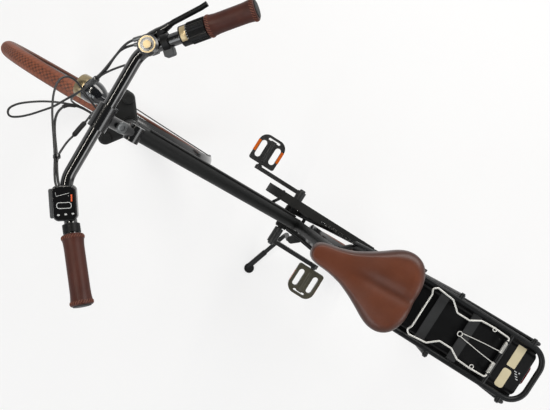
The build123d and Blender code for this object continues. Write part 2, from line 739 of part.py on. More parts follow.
bb_at = Pos(bb_x, 0, bb_z)
ring_turn = -crank_droop
ring = toothed(ring_teeth, 2.4, ring_phase)
ring = ring - Rot(90, 0, 0) * Cylinder(ring_r - 14, 12)
for k in range(5):
    spider = Rot(0, 72 * k, 0) * Pos((ring_r - 10) / 2, 0, 0) * Box(ring_r - 10, 4, 16)
    ring = ring + spider
ring = ring + Rot(90, 0, 0) * Cylinder(26, 6)
ring = Pos(0, chain_line, 0) * ring
right = crank_arm(-1, ring_turn) + ring
right = right + rod((0, -60, 0), (0, 0, 0), spindle_r)
left = crank_arm(1, 180 + ring_turn) + rod((0, 0.1, 0), (0, 62, 0), spindle_r)
right = right - rod((0, -41, 0), (0, 0, 0), 100) + rod((0, -46, 0), (0, 0, 0), spindle_r)
add("crankset", "crank_right", bb_at * right)
add("crankset", "crank_left", bb_at * left)

# Pedals: flat cage with slots and a rounded outer end, turning on the spindle
mid_pedal = (crank_out + 6 + pedal_out) / 2
pedal_len = pedal_out - crank_out - 6


def pedal():
    face = Rectangle(2 * pedal_half, pedal_len)
    face = fillet(face.vertices().group_by(Axis.Y)[-1], 30)
    face = fillet(face.vertices().group_by(Axis.Y)[0], 8)
    body = extrude(face, amount=pedal_thick / 2, both=True)
    slots = []
    for x in (-27, 27):
        slots.append(Pos(x, -4) * SlotOverall(62, 20, rotation=90))
    slots.append(Pos(0, pedal_len / 2 - 12) * SlotOverall(44, 8))
    for slot in slots:
        body = body - extrude(slot, amount=20, both=True)
    bore = Pos(0, -8, 0) * Rot(90, 0, 0) * Cylinder(6 + running, pedal_len - 12)
    return body + Rot(90, 0, 0) * Cylinder(10.5, pedal_len - 26) - bore


for side, name, turn in ((-1, "pedal_right", ring_turn), (1, "pedal_left", 180 + ring_turn)):
    tip = (crank_length * math.cos(rad(turn)), -crank_length * math.sin(rad(turn)))
    piece = pedal() if side > 0 else mirror_y(pedal())
    piece = Pos(bb_x + tip[0], side * mid_pedal, bb_z + tip[1]) * Rot(0, turn, 0) * piece
    add(name, name, piece)


# Chain: scalloped plates on both sides and a six sided roller at each pin
def plate_face():
    edges = []
    for side in (1, -1):
        points = []
        for k in range(links):
            points.append(on_loop(k * link_pitch, side * plate_tall))
            points.append(on_loop((k + 0.5) * link_pitch, side * plate_waist))
        edges.append(make_face(Polyline(*points, close=True)))
    return Plane.XZ * (edges[0] - edges[1])


plates = []
for side in (1, -1):
    plate = extrude(plate_face(), amount=plate_thick / 2, both=True)
    plates.append(Pos(0, chain_line + side * (slot_half + plate_thick / 2), 0) * plate)
rollers = []
for k in range(links):
    x, z = on_loop(k * link_pitch, 0)
    roller = extrude(RegularPolygon(roller_r, 6), amount=slot_half + plate_thick / 2, both=True)
    rollers.append(Pos(x, chain_line, z) * Rot(90, 0, 0) * roller)
add("frame", "chain", plates[0].fuse(plates[1], *rollers))

# Chain guard: a channel over the ring and the upper run
guard_out = 110.0
rear_end = (168.0, 414.0)
roof_arc = math.degrees(math.atan2(rear_end[1] - bb_z, rear_end[0] - bb_x))
lead = math.hypot(rear_end[0] - bb_x, rear_end[1] - bb_z)
touch = rad(roof_arc) - math.acos(guard_out / lead)


def guard_line(r, drop):
    start = (bb_x + r * math.cos(rad(8)), bb_z + r * math.sin(rad(8)))
    crest = (bb_x + r * math.cos(touch), bb_z + r * math.sin(touch))
    mid_turn = (rad(8) + touch) / 2
    mid = (bb_x + r * math.cos(mid_turn), bb_z + r * math.sin(mid_turn))
    tail = (rear_end[0] - drop * math.cos(touch), rear_end[1] - drop * math.sin(touch))
    return start, mid, crest, tail


def guard_face(outer, inner):
    a = guard_line(guard_out - outer, outer)
    b = guard_line(guard_out - inner, inner)
    edges = [
        ThreePointArc(a[0], a[1], a[2]),
        Line(a[2], a[3]),
        Line(a[3], b[3]),
        Line(b[3], b[2]),
        ThreePointArc(b[2], b[1], b[0]),
        Line(b[0], a[0]),
    ]
    return Plane.XZ * make_face(edges)


roof = extrude(guard_face(0, 2), amount=15, both=True)
wall = extrude(guard_face(0, 34), amount=1, both=True)
guard = Pos(0, -55, 0) * roof + Pos(0, -69, 0) * wall
guard = guard - Pos(bb_x - 250, -47, bb_z + 150) * Box(300, 15, 200)
guard = guard + rod((505, -42, 382), (520, -18, 372), 5) + rod((505, -48, 382.5), (505, -41, 382.5), 5)
hold_x = 196.0
hold_z = stay_z(hold_x)
guard = guard + Pos(hold_x, -66, hold_z + 43) * Box(14, 4, 86)
guard = guard + cross(hold_x, hold_z, -67, -58, 5)
guard = guard - nodes["down_tube"][1] - nodes["chain_stays"][1] - nodes["top_tube"][1]
add("frame", "chain_guard", guard)

# Gear control box at the right axle end, brake reaction arm on the left chain stay
box = Pos(-6, -97, wheel_radius) * Box(40, 9, 26)
box = fillet(box.edges().filter_by(Axis.Y), 9)
box = box + cross(0, wheel_radius, -86, -97, 11)
box = box - cross(0, wheel_radius, -92.2, -80, 5 + running)
add("frame", "gear_box", box)
arm = Pos(70, 60, 337) * Rot(0, 9, 0) * Box(150, 4, 14)
arm = arm + cross(0, wheel_radius, 58, 62, 13)
arm = arm - cross(0, wheel_radius, 50, 70, 5 + running) - nodes["chain_stays"][1]
add("frame", "brake_arm", arm)


# Side stand: the floor's height under its foot follows from the lean
def foot_height(y):
    turn = rad(lean_angle)
    return tyre_half + (y * math.sin(turn) - tyre_half) / math.cos(turn)


foot_point = (stand_foot[0], stand_foot[1], foot_height(stand_foot[1]))
pivot = Vector(*stand_pivot)
leg_down = (Vector(*foot_point) - pivot).normalized()
leg_back = Vector(*stand_stowed).normalized()
stand_axis = leg_down.cross(leg_back).normalized()
knee_at = Vector(*stand_knee)
first = (knee_at - pivot) - stand_axis * (knee_at - pivot).dot(stand_axis)
first = first.normalized()
boss_half = 8.5
boss = rod(tuple(pivot - stand_axis * boss_half), tuple(pivot + stand_axis * boss_half), 13)
leg_line = [stand_pivot, tuple(pivot + first * 24), stand_knee, foot_point]
leg = boss + bent_rod(leg_line, stand_bend, stand_r)
inward = (knee_at - Vector(*foot_point)).normalized()
leg = leg + rod(foot_point, tuple(Vector(*foot_point) + inward * 95), stand_r + 2.5)
ground = Plane(origin=foot_point, z_dir=(0, -math.sin(rad(lean_angle)), math.cos(rad(lean_angle))))
pad = Location(ground) * Pos(3, 6, 0) * Cylinder(19, 9, align=low)
leg = leg + pad
under = Location(ground) * Pos(0, 0, -30) * Box(200, 200, 60)
leg = leg - under
pin_r = 5.0
leg = leg - rod(tuple(pivot - stand_axis * 30), tuple(pivot + stand_axis * 30), pin_r + running)
add("kickstand", "stand_leg", leg)
cheek = boss_half + 0.5
bracket = rod(tuple(pivot - stand_axis * (cheek + 5)), tuple(pivot + stand_axis * (cheek + 5)), pin_r)
stand_plane = Location(Plane(origin=pivot, x_dir=stand_axis, z_dir=first))
for side in (1, -1):
    ear = Pos(side * (cheek + 2.5), 0, 0) * Rot(0, 90, 0) * Cylinder(13, 5)
    ear = ear + Pos(side * (cheek + 2.5), 0, -12) * Box(5, 26, 24)
    bracket = bracket + stand_plane * ear
web = Pos(0, 0, -29) * Box(2 * cheek + 10, 26, 26)
bracket = bracket + stand_plane * web - nodes["chain_stays"][1] - nodes["seat_tube"][1]
add("frame", "stand_bracket", bracket)

# Spring clip on the rack: a bent wire that turns about its rear ends against two coils
clip_x = -143.0
clip_z = rack_z + 14.0
wire_r = 2.2
clip_mid = -3.0
half_line = [
    (clip_x, 40),
    (clip_x, 55),
    (-99, 57),
    (-64, 55),
    (-39, 40),
    (-5, 40),
    (20, 61),
    (66, 66),
    (76, 58),
    (70, 46),
]
clip_line = [(x, clip_mid + y, clip_z) for x, y in half_line]
clip_line = clip_line + [(x, clip_mid - y, clip_z) for x, y in reversed(half_line)]
clip = bent_rod(clip_line, 5, wire_r)
add("rack_clip", "rack_clip", clip)
springs = []
coil_r = 4.8
coil_length = 28.0
for side in (1, -1):
    coil = Cylinder(coil_r, coil_length) - Cylinder(wire_r + 0.8, coil_length + 2)
    coil = Pos(clip_x, clip_mid + side * 28, clip_z) * Rot(90, 0, 0) * coil
    strap_top = rack_z + 2.5 + 1.1
    hook = [
        (clip_x + 3.9, clip_mid + side * 16, clip_z),
        (-64, clip_mid + side * 9, strap_top),
        (-40, clip_mid + side * 9, strap_top),
    ]
    springs.append(coil + bent_rod(hook, 10, 1.05))
add("frame", "clip_spring", Compound(children=springs))

# Cables along the frame and from the handlebar
turn_place = fork_place * Rot(0, 0, steer_rest) * fork_place.inverse()
tube_a = Vector(*top_head)
tube_b = Vector(*on_seat(398))
tube_way = (tube_b - tube_a).normalized()
tube_up = Vector(tube_way.Z, 0, -tube_way.X)
beside = tube_up * math.sin(rad(12)) + Vector(0, -math.cos(rad(12)), 0)
cable_r = 2.6
beside = beside * (top_tube_r + cable_r)
frame_cable = rod(tuple(tube_a + tube_way * 42 + beside), tuple(tube_b - tube_way * 34 + beside), cable_r)
add("frame", "frame_cable", frame_cable)
# Each cable: route from the handlebar, bend, radius, piece it leaves
cable_lines = {
    "cable_brake": (
        [
            by_bar(46, 26, 8),
            (936, -156, 1060),
            (1040, -82, 960),
            (1030, -66, 790),
            in_fork(66, -41, 373.1),
        ],
        36,
        2.5,
        "brake_lever",
    ),
    "cable_shift": (
        [
            (826, -216, 1069),
            (870, -180, 1044),
            (925, -150, 1030),
            (960, -40, 998),
            (1092, 60, 925),
            (1080, 130, 890),
        ],
        24,
        2.5,
        "twist_shifter",
    ),
    "cable_display": (
        [
            (878, 158, 1092),
            (938, 130, 1062),
            (990, 62, 1036),
            (1030, -20, 996),
            (980, -42, 945),
            (930, 34, 908),
        ],
        24,
        2.3,
        "display",
    ),
}
cable_ends = {
    "cable_shift": ([(950, 52, 860), (880, 36, 812), (846, 8, 778)], "down_tube"),
    "cable_display": ([(872, 30, 876), (836, 8, 844)], "top_tube"),
}
for name, (points, bend, r, start) in cable_lines.items():
    tail, stop = cable_ends.get(name, ([], "top_tube"))
    cable = bent_rod(points + tail, bend, r) - nodes[start][1] - nodes["front_brake"][1]
    cable = cable - nodes[stop][1].moved(turn_place.inverse())
    add("steering", name, cable)

# Steering is parked a little to the left, then everything leans and moves to the row's origin
lean_place = Pos(0, 0, tyre_half) * Rot(-lean_angle, 0, 0) * Pos(0, 0, -tyre_half)
placed = {}
for name, (body, shape) in nodes.items():
    place = lean_place * turn_place if body in ("steering", "front_wheel") else lean_place
    placed[name] = shape.moved(place)
boxes = [shape.bounding_box() for shape in placed.values()]
low_x = min(b.min.X for b in boxes)
high_x = max(b.max.X for b in boxes)
low_y = min(b.min.Y for b in boxes)
high_y = max(b.max.Y for b in boxes)
low_z = min(b.min.Z for b in boxes)
shift = Pos(-(low_x + high_x) / 2, -(low_y + high_y) / 2, -low_z)
for name, shape in placed.items():
    export_step(shape.moved(shift), f"parts/{name}.step")


def report(name, point, way, steered):
    place = shift * lean_place * turn_place if steered else shift * lean_place
    a = (place * Pos(*point)).position
    b = (place * Pos(*(Vector(*point) + Vector(*way)))).position
    axis = b - a
    print(name, [round(v / 1000, 6) for v in a], [round(v, 6) for v in axis])


print("shift", [round(v, 4) for v in shift.position])
report("steer", (foot_x, 0, foot_z), up, False)
report("front_spin", (wheelbase, 0, wheel_radius), (0, 1, 0), True)
report("rear_spin", (0, 0, wheel_radius), (0, 1, 0), False)
report("crank_spin", (bb_x, 0, bb_z), (0, 1, 0), False)
for side, name, turn in ((-1, "pedal_right_spin", ring_turn), (1, "pedal_left_spin", 180 + ring_turn)):
    tip = (crank_length * math.cos(rad(turn)), -crank_length * math.sin(rad(turn)))
    report(name, (bb_x + tip[0], side * mid_pedal, bb_z + tip[1]), (0, 1, 0), False)
report("stand_swing", stand_pivot, tuple(stand_axis), False)
print("stand range", round(math.degrees(math.acos(leg_down.dot(leg_back))), 1))
report("clip_lift", (clip_x, clip_mid, clip_z), (0, -1, 0), False)
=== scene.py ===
import json
import math

import bmesh
import bpy
import numpy as np
from mathutils import Matrix, Vector


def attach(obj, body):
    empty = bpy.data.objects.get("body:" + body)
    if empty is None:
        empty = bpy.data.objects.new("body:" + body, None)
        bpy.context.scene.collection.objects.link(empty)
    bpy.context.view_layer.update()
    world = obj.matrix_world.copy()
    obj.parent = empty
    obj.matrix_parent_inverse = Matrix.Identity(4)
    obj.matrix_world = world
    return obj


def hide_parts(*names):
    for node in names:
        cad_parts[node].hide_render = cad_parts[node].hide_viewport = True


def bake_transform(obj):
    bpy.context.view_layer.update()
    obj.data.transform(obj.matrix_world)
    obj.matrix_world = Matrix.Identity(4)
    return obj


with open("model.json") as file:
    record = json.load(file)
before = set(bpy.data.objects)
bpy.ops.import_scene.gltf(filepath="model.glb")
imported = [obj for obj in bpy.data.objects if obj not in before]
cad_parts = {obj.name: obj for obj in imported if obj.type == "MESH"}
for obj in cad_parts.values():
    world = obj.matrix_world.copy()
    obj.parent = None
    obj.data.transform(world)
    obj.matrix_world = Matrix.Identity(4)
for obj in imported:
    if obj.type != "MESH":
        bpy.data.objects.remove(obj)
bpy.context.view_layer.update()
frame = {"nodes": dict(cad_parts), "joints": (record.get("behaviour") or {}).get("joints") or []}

joints = {j["name"]: j for j in frame["joints"]}
print("frame loaded:", len(frame["nodes"]), "solids")

# Places: upright millimetres, x ahead of the rear axle, y left, z up
bike = {
    "wheelRadius": 355.0,
    "wheelbase": 1136.0,
    "headAngle": 69.0,
    "forkOffset": 50.0,
    "steerRest": 1.5,  # degrees, as parked
}
leftAxis = np.array(joints["rear_spin"]["axis"])
aheadAxis = np.array([1.0, 0.0, 0.0])
upAxis = np.cross(aheadAxis, leftAxis)
rearAxle = np.array(joints["rear_spin"]["pos_m"])
steerPoint = np.array(joints["steer"]["pos_m"])
steerAxis = np.array(joints["steer"]["axis"])


# turn of points about an axis: the part along it stays, the rest goes round by the angle
def turned(points, origin, axis, degrees):
    v = points - origin
    a = math.radians(degrees)
    along = (v @ axis)[..., None] * axis
    return origin + v * math.cos(a) + np.cross(axis, v) * math.sin(a) + along * (1 - math.cos(a))


# upright millimetres to metres in the frame: the leaning axes through the rear axle
def onBike(points):
    p = np.asarray(points, float)
    p = (p - np.array([0, 0, bike["wheelRadius"]])) / 1000
    return rearAxle + p[..., 0:1] * aheadAxis + p[..., 1:2] * leftAxis + p[..., 2:3] * upAxis


# the same for what turns with the fork
def onFork(points):
    return turned(onBike(points), steerPoint, steerAxis, bike["steerRest"])


headTurn = math.radians(bike["headAngle"])
forkUp = np.array([-math.cos(headTurn), 0, math.sin(headTurn)])
forkAhead = np.array([math.sin(headTurn), 0, math.cos(headTurn)])
forkFoot = np.array([bike["wheelbase"], 0, bike["wheelRadius"]]) - bike["forkOffset"] * forkAhead


# ahead, left and along the steering axis, to upright millimetres
def inFork(ahead, left, along):
    return forkFoot + ahead * forkAhead + np.array([0, left, 0]) + along * forkUp


# Meshes: points closer than the gap are one, faces that meet at more than the angle stay sharp
meshing = {
    "weldGap": 2e-6,
    "sharpAngle": 40.0,
}


# quads of a grid, row by row, closed round where asked
def gridQuads(rows, cols, roundRows=False, roundCols=True):
    i = np.arange(rows if roundRows else rows - 1)
    j = np.arange(cols if roundCols else cols - 1)
    a, b = np.meshgrid(i, j, indexing="ij")
    c, d = (a + 1) % rows, (b + 1) % cols
    return np.stack([a * cols + b, c * cols + b, c * cols + d, a * cols + d], -1).reshape(-1, 4)


def putMesh(name, points, quads, shade=None, weld=True):
    mesh = bpy.data.meshes.new(name)
    points = np.asarray(points, np.float32).reshape(-1, 3)
    quads = np.asarray(quads, np.int32)
    mesh.vertices.add(len(points))
    mesh.vertices.foreach_set("co", points.ravel())
    mesh.loops.add(quads.size)
    mesh.loops.foreach_set("vertex_index", quads.ravel())
    mesh.polygons.add(len(quads))
    mesh.polygons.foreach_set("loop_start", np.arange(0, quads.size, quads.shape[1], dtype=np.int32))
    mesh.update(calc_edges=True)
    # a float per point that mixes a darker colour into the finish: painted shade
    if shade is not None:
        layer = mesh.attributes.new("shade", "FLOAT", "POINT")
        layer.data.foreach_set("value", np.asarray(shade, np.float32).ravel())
    if weld:
        bm = bmesh.new()
        bm.from_mesh(mesh)
        bmesh.ops.remove_doubles(bm, verts=bm.verts, dist=meshing["weldGap"])
        bmesh.ops.recalc_face_normals(bm, faces=bm.faces)
        bm.to_mesh(mesh)
        bm.free()
    mesh.shade_smooth()
    mesh.set_sharp_from_angle(angle=math.radians(meshing["sharpAngle"]))
    obj = bpy.data.objects.new(name, mesh)
    bpy.context.scene.collection.objects.link(obj)
    return obj


# several grids of points in one mesh: the quads of each are moved on by the points before it
def joinGrids(grids, roundRows=False):
    points, quads, count = [], [], 0
    for g in grids:
        rows, cols = g.shape[:2]
        points.append(g.reshape(-1, 3))
        quads.append(gridQuads(rows, cols, roundRows) + count)
        count += rows * cols
    return np.concatenate(points), np.concatenate(quads)


def unit(v):
    return v / np.linalg.norm(v, axis=-1, keepdims=True)


# two normals along a path: the first is carried from point to point with the least twist
def pathFrames(path):
    way = unit(np.gradient(path, axis=0))
    ref = np.eye(3)[np.argmin(np.abs(way[0]))]
    side = np.zeros_like(path)
    for k in range(len(path)):
        ref = ref - way[k] * (ref @ way[k])
        ref = ref / np.linalg.norm(ref)
        side[k] = ref
    return side, np.cross(way, side)


# a circle carried along a path: centre plus radius times the turning normal,
# closed to a point at both ends
def tubeGrid(path, radius, sides):
    path = np.asarray(path, float)
    side, over = pathFrames(path)
    a = np.linspace(0, 2 * math.pi, sides, endpoint=False)
    ring = np.cos(a)[None, :, None] * side[:, None] + np.sin(a)[None, :, None] * over[:, None]
    grid = path[:, None] + np.broadcast_to(radius, len(path))[:, None, None] * ring
    start = np.broadcast_to(path[0], (1, sides, 3))
    end = np.broadcast_to(path[-1], (1, sides, 3))
    return np.concatenate([start, grid, end])


# a profile of (distance along, radius) turned about an axis, with a ripple added to the radius
def turnedGrid(profile, origin, axis, sides, ripple=None):
    profile = np.asarray(profile, float)
    axis = unit(np.asarray(axis, float))
    ref = np.eye(3)[np.argmin(np.abs(axis))]
    side = unit(np.cross(axis, ref))
    over = np.cross(axis, side)
    a = np.linspace(0, 2 * math.pi, sides, endpoint=False)
    ring = np.cos(a)[:, None] * side + np.sin(a)[:, None] * over
    r = profile[:, 1:2] + (0 if ripple is None else ripple(profile[:, 0:1], a[None, :]))
    return np.asarray(origin, float) + profile[:, 0, None, None] * axis + r[..., None] * ring


# points of a smooth line: an order 3 spline with the route's points as its controls
def smoothRoute(points, steps):
    curve = bpy.data.curves.new("route", "CURVE")
    curve.dimensions = "3D"
    curve.resolution_u = steps
    spline = curve.splines.new("NURBS")
    spline.points.add(len(points) - 1)
    spline.points.foreach_set("co", np.c_[points, np.ones(len(points))].ravel())
    spline.order_u = 3
    spline.use_endpoint_u = True
    obj = bpy.data.objects.new("route", curve)
    bpy.context.scene.collection.objects.link(obj)
    mesh = bpy.data.meshes.new_from_object(obj)
    path = np.zeros(len(mesh.vertices) * 3)
    mesh.vertices.foreach_get("co", path)
    bpy.data.objects.remove(obj)
    bpy.data.curves.remove(curve)
    bpy.data.meshes.remove(mesh)
    return path.reshape(-1, 3)


# a rounded rectangle: a quarter circle at each corner
def roundRect(halfX, halfY, r, steps=6):
    a = np.linspace(0, math.pi / 2, steps)
    corners = []
    for k, (sx, sy) in enumerate(((1, 1), (-1, 1), (-1, -1), (1, -1))):
        turn = a + k * math.pi / 2
        corners.append(np.c_[sx * (halfX - r) + r * np.cos(turn), sy * (halfY - r) + r * np.sin(turn)])
    return np.concatenate(corners)


# a flat outline raised between two heights with its upper edge drawn in:
# rows from the lower to the upper middle
def slabGrid(outline, plane, low, high, edge):
    origin, xWay, yWay = [np.asarray(v, float) for v in plane]
    zWay = np.cross(xWay, yWay)
    middle = np.broadcast_to(outline.mean(0), outline.shape)
    out = outline - middle
    inset = middle + out * (1 - edge / np.linalg.norm(out, axis=1, keepdims=True))
    rows = [(middle, low), (outline, low), (outline, high - edge), (inset, high), (middle, high)]
    return np.stack([origin + p[:, :1] * xWay + p[:, 1:] * yWay + h * zWay for p, h in rows])


# 0 below the low value, 1 above the high one, and an easy slope between
def smoothStep(x, low, high):
    t = np.clip((x - low) / (high - low), 0, 1)
    return t * t * (3 - 2 * t)


# Finishes: colours are written as they show, 0 to 255
def tint(r, g, b):
    c = np.array([r, g, b]) / 255
    c = np.where(c > 0.04045, ((c + 0.055) / 1.055) ** 2.4, c / 12.92)
    return (*c.tolist(), 1.0)


# a group of nodes: an input with a colour as its value is a colour, an output by that name too
def newGroup(name, inputs, outputs):
    group = bpy.data.node_groups.new(name, "ShaderNodeTree")
    for label, value in inputs.items():
        kind = "NodeSocketColor" if isinstance(value, tuple) else "NodeSocketFloat"
        group.interface.new_socket(name=label, in_out="INPUT", socket_type=kind).default_value = value
    for label in outputs:
        kind = "NodeSocketColor" if label == "Color" else "NodeSocketFloat"
        group.interface.new_socket(name=label, in_out="OUTPUT", socket_type=kind)
    return group, group.nodes.new("NodeGroupInput"), group.nodes.new("NodeGroupOutput")


def setSockets(made, values):
    for key, value in values.items():
        made.inputs[key].default_value = value
    return made


# a node: its fields come first, because they decide which sockets it has
def node(tree, kind, sockets=None, **fields):
    made = tree.nodes.new("ShaderNode" + kind)
    for key, value in fields.items():
        setattr(made, key, value)
    return setSockets(made, sockets or {})


# links from a table: node and its output, node and its input
def wire(tree, rows):
    for source, out, target, into in rows:
        tree.links.new(source.outputs[out], target.inputs[into])


# soft patches of a second colour: noise spread over a quarter each side of its middle
def makeToneGroup():
    tones = {"First": (0.5, 0.5, 0.5, 1), "Second": (0.4, 0.4, 0.4, 1)}
    group, inn, out = newGroup("tonePatches", {**tones, "Scale": 20.0}, ["Color"])
    place = node(group, "TexCoord")
    noise = node(group, "TexNoise", {"Detail": 6, "Roughness": 0.6})
    spread = node(group, "MapRange", {"From Min": 0.25, "From Max": 0.75})
    mix = node(group, "Mix", data_type="RGBA")
    wire(group, [
        (place, "Object", noise, "Vector"), (inn, "Scale", noise, "Scale"), (noise, "Fac", spread, "Value"),
        (spread, "Result", mix, "Factor"), (inn, "First", mix, "A"), (inn, "Second", mix, "B"),
        (mix, "Result", out, "Color"),
    ])
    return group


# fine moulded or painted grain: one small noise for height, a broader one for gloss
def makeGrainGroup():
    inputs = {"Scale": 900.0, "Dull": 0.5, "Bright": 0.4}
    group, inn, out = newGroup("fineGrain", inputs, ["Height", "Roughness"])
    place = node(group, "TexCoord")
    fine = node(group, "TexNoise", {"Detail": 3})
    broad = node(group, "TexNoise", {"Scale": 14, "Detail": 5})
    spread = node(group, "MapRange", {"From Min": 0.3, "From Max": 0.7})
    wire(group, [
        (place, "Object", fine, "Vector"), (place, "Object", broad, "Vector"), (inn, "Scale", fine, "Scale"),
        (broad, "Fac", spread, "Value"), (inn, "Bright", spread, "To Min"), (inn, "Dull", spread, "To Max"),
        (fine, "Fac", out, "Height"), (spread, "Result", out, "Roughness"),
    ])
    return group


# leather pores: rounded cells with creases between them and a broader swell; the crease mask is also used to
# darken the colour in the creases as painted shade
def makePoreGroup():
    group, inn, out = newGroup("leatherPores", {"Scale": 700.0}, ["Height", "Crease"])
    place = node(group, "TexCoord")
    warp = node(group, "TexNoise", {"Scale": 160})
    bend = node(group, "VectorMath", {1: (0.004, 0.004, 0.004)}, operation="MULTIPLY_ADD")
    cells = node(group, "TexVoronoi", feature="DISTANCE_TO_EDGE")
    crease = node(group, "MapRange", {"From Max": 0.35}, interpolation_type="SMOOTHSTEP")
    broad = node(group, "TexNoise", {"Scale": 60})
    add = node(group, "Math", {1: 0.4}, operation="MULTIPLY_ADD")
    wire(group, [
        (place, "Object", warp, "Vector"), (place, "Object", broad, "Vector"),
        (warp, "Color", bend, 0), (place, "Object", bend, 2),
        (bend, 0, cells, "Vector"), (inn, "Scale", cells, "Scale"), (cells, "Distance", crease, "Value"),
        (broad, "Fac", add, 0), (crease, "Result", add, 2),
        (add, 0, out, "Height"), (crease, "Result", out, "Crease"),
    ])
    return group


# rubbed edges: where the rounded normal leaves the flat one, broken up by noise
def makeRubGroup():
    group, inn, out = newGroup("rubbedEdges", {"Amount": 0.5}, ["Mask"])
    place = node(group, "TexCoord")
    bevel = node(group, "Bevel", {"Radius": 0.0015}, samples=4)
    flat = node(group, "NewGeometry")
    dot = node(group, "VectorMath", operation="DOT_PRODUCT")
    edge = node(group, "MapRange", {"From Min": 0.995, "From Max": 0.85})
    noise = node(group, "TexNoise", {"Scale": 240, "Detail": 5})
    broken = node(group, "MapRange", {"From Min": 0.42, "From Max": 0.62})
    both = node(group, "Math", operation="MULTIPLY")
    weak = node(group, "Math", operation="MULTIPLY")
    wire(group, [
        (bevel, "Normal", dot, 0), (flat, "Normal", dot, 1),
        (dot, "Value", edge, "Value"), (place, "Object", noise, "Vector"), (noise, "Fac", broken, "Value"),
        (edge, "Result", both, 0), (broken, "Result", both, 1),
        (both, 0, weak, 0), (inn, "Amount", weak, 1), (weak, 0, out, "Mask"),
    ])
    return group


toneGroup, grainGroup = makeToneGroup(), makeGrainGroup()
poreGroup, rubGroup = makePoreGroup(), makeRubGroup()


# one finish from its dictionary: patches of colour, grain or pores for height and gloss, with painted shade
# in the pore creases, then painted shade by the mesh's own attribute and rubbed edges over the colour
def makeFinish(name, given):
    material = bpy.data.materials.new(name)
    material.use_nodes = True
    tree = material.node_tree
    shader = setSockets(tree.nodes["Principled BSDF"], {
        "Metallic": given.get("metal", 0.0), "Specular IOR Level": given.get("specular", 0.5),
        "Coat Weight": given.get("coat", 0.0), "Coat Roughness": 0.05,
    })
    first, second = [tint(*c) for c in given["tones"]]
    patches = {"First": first, "Second": second, "Scale": given.get("patch", 20.0)}
    colour = (node(tree, "Group", patches, node_tree=toneGroup), "Color")
    bright, dull = given["rough"]
    grains = {"Scale": given.get("grain", 900.0), "Dull": dull, "Bright": bright}
    grain = node(tree, "Group", grains, node_tree=grainGroup)
    height = (grain, "Height")
    if "pores" in given:
        pores = node(tree, "Group", {"Scale": given["pores"]}, node_tree=poreGroup)
        height = (pores, "Height")
        # the colour darkened in the pore creases: painted shade
        deep = node(tree, "Mix", {"Factor": given["creaseDepth"]}, data_type="RGBA", blend_type="MULTIPLY")
        wire(tree, [(*colour, deep, "A"), (pores, "Crease", deep, "B")])
        colour = (deep, "Result")
    masks = []
    # a darker colour mixed in by the mesh's own attribute: painted shade
    if "shade" in given:
        masks.append((node(tree, "Attribute", attribute_name="shade"), "Fac", given["shade"]))
    if "rub" in given:
        rub = node(tree, "Group", {"Amount": given["rubAmount"]}, node_tree=rubGroup)
        masks.append((rub, "Mask", given["rub"]))
    for mask, out, shown in masks:
        mix = node(tree, "Mix", {"B": tint(*shown)}, data_type="RGBA")
        wire(tree, [(mask, out, mix, "Factor"), (*colour, mix, "A")])
        colour = (mix, "Result")
    bump = node(tree, "Bump", {"Strength": given.get("bump", 0.15), "Distance": given.get("depth", 0.0004)})
    wire(tree, [(*colour, shader, "Base Color"), (grain, "Roughness", shader, "Roughness"),
                (*height, bump, "Height"), (bump, "Normal", shader, "Normal")])
    return material


# a finish: the two colours of its patches, roughness from bright to dull, and what else it has
def look(first, second, rough, **more):
    return {"tones": (first, second), "rough": rough, **more}


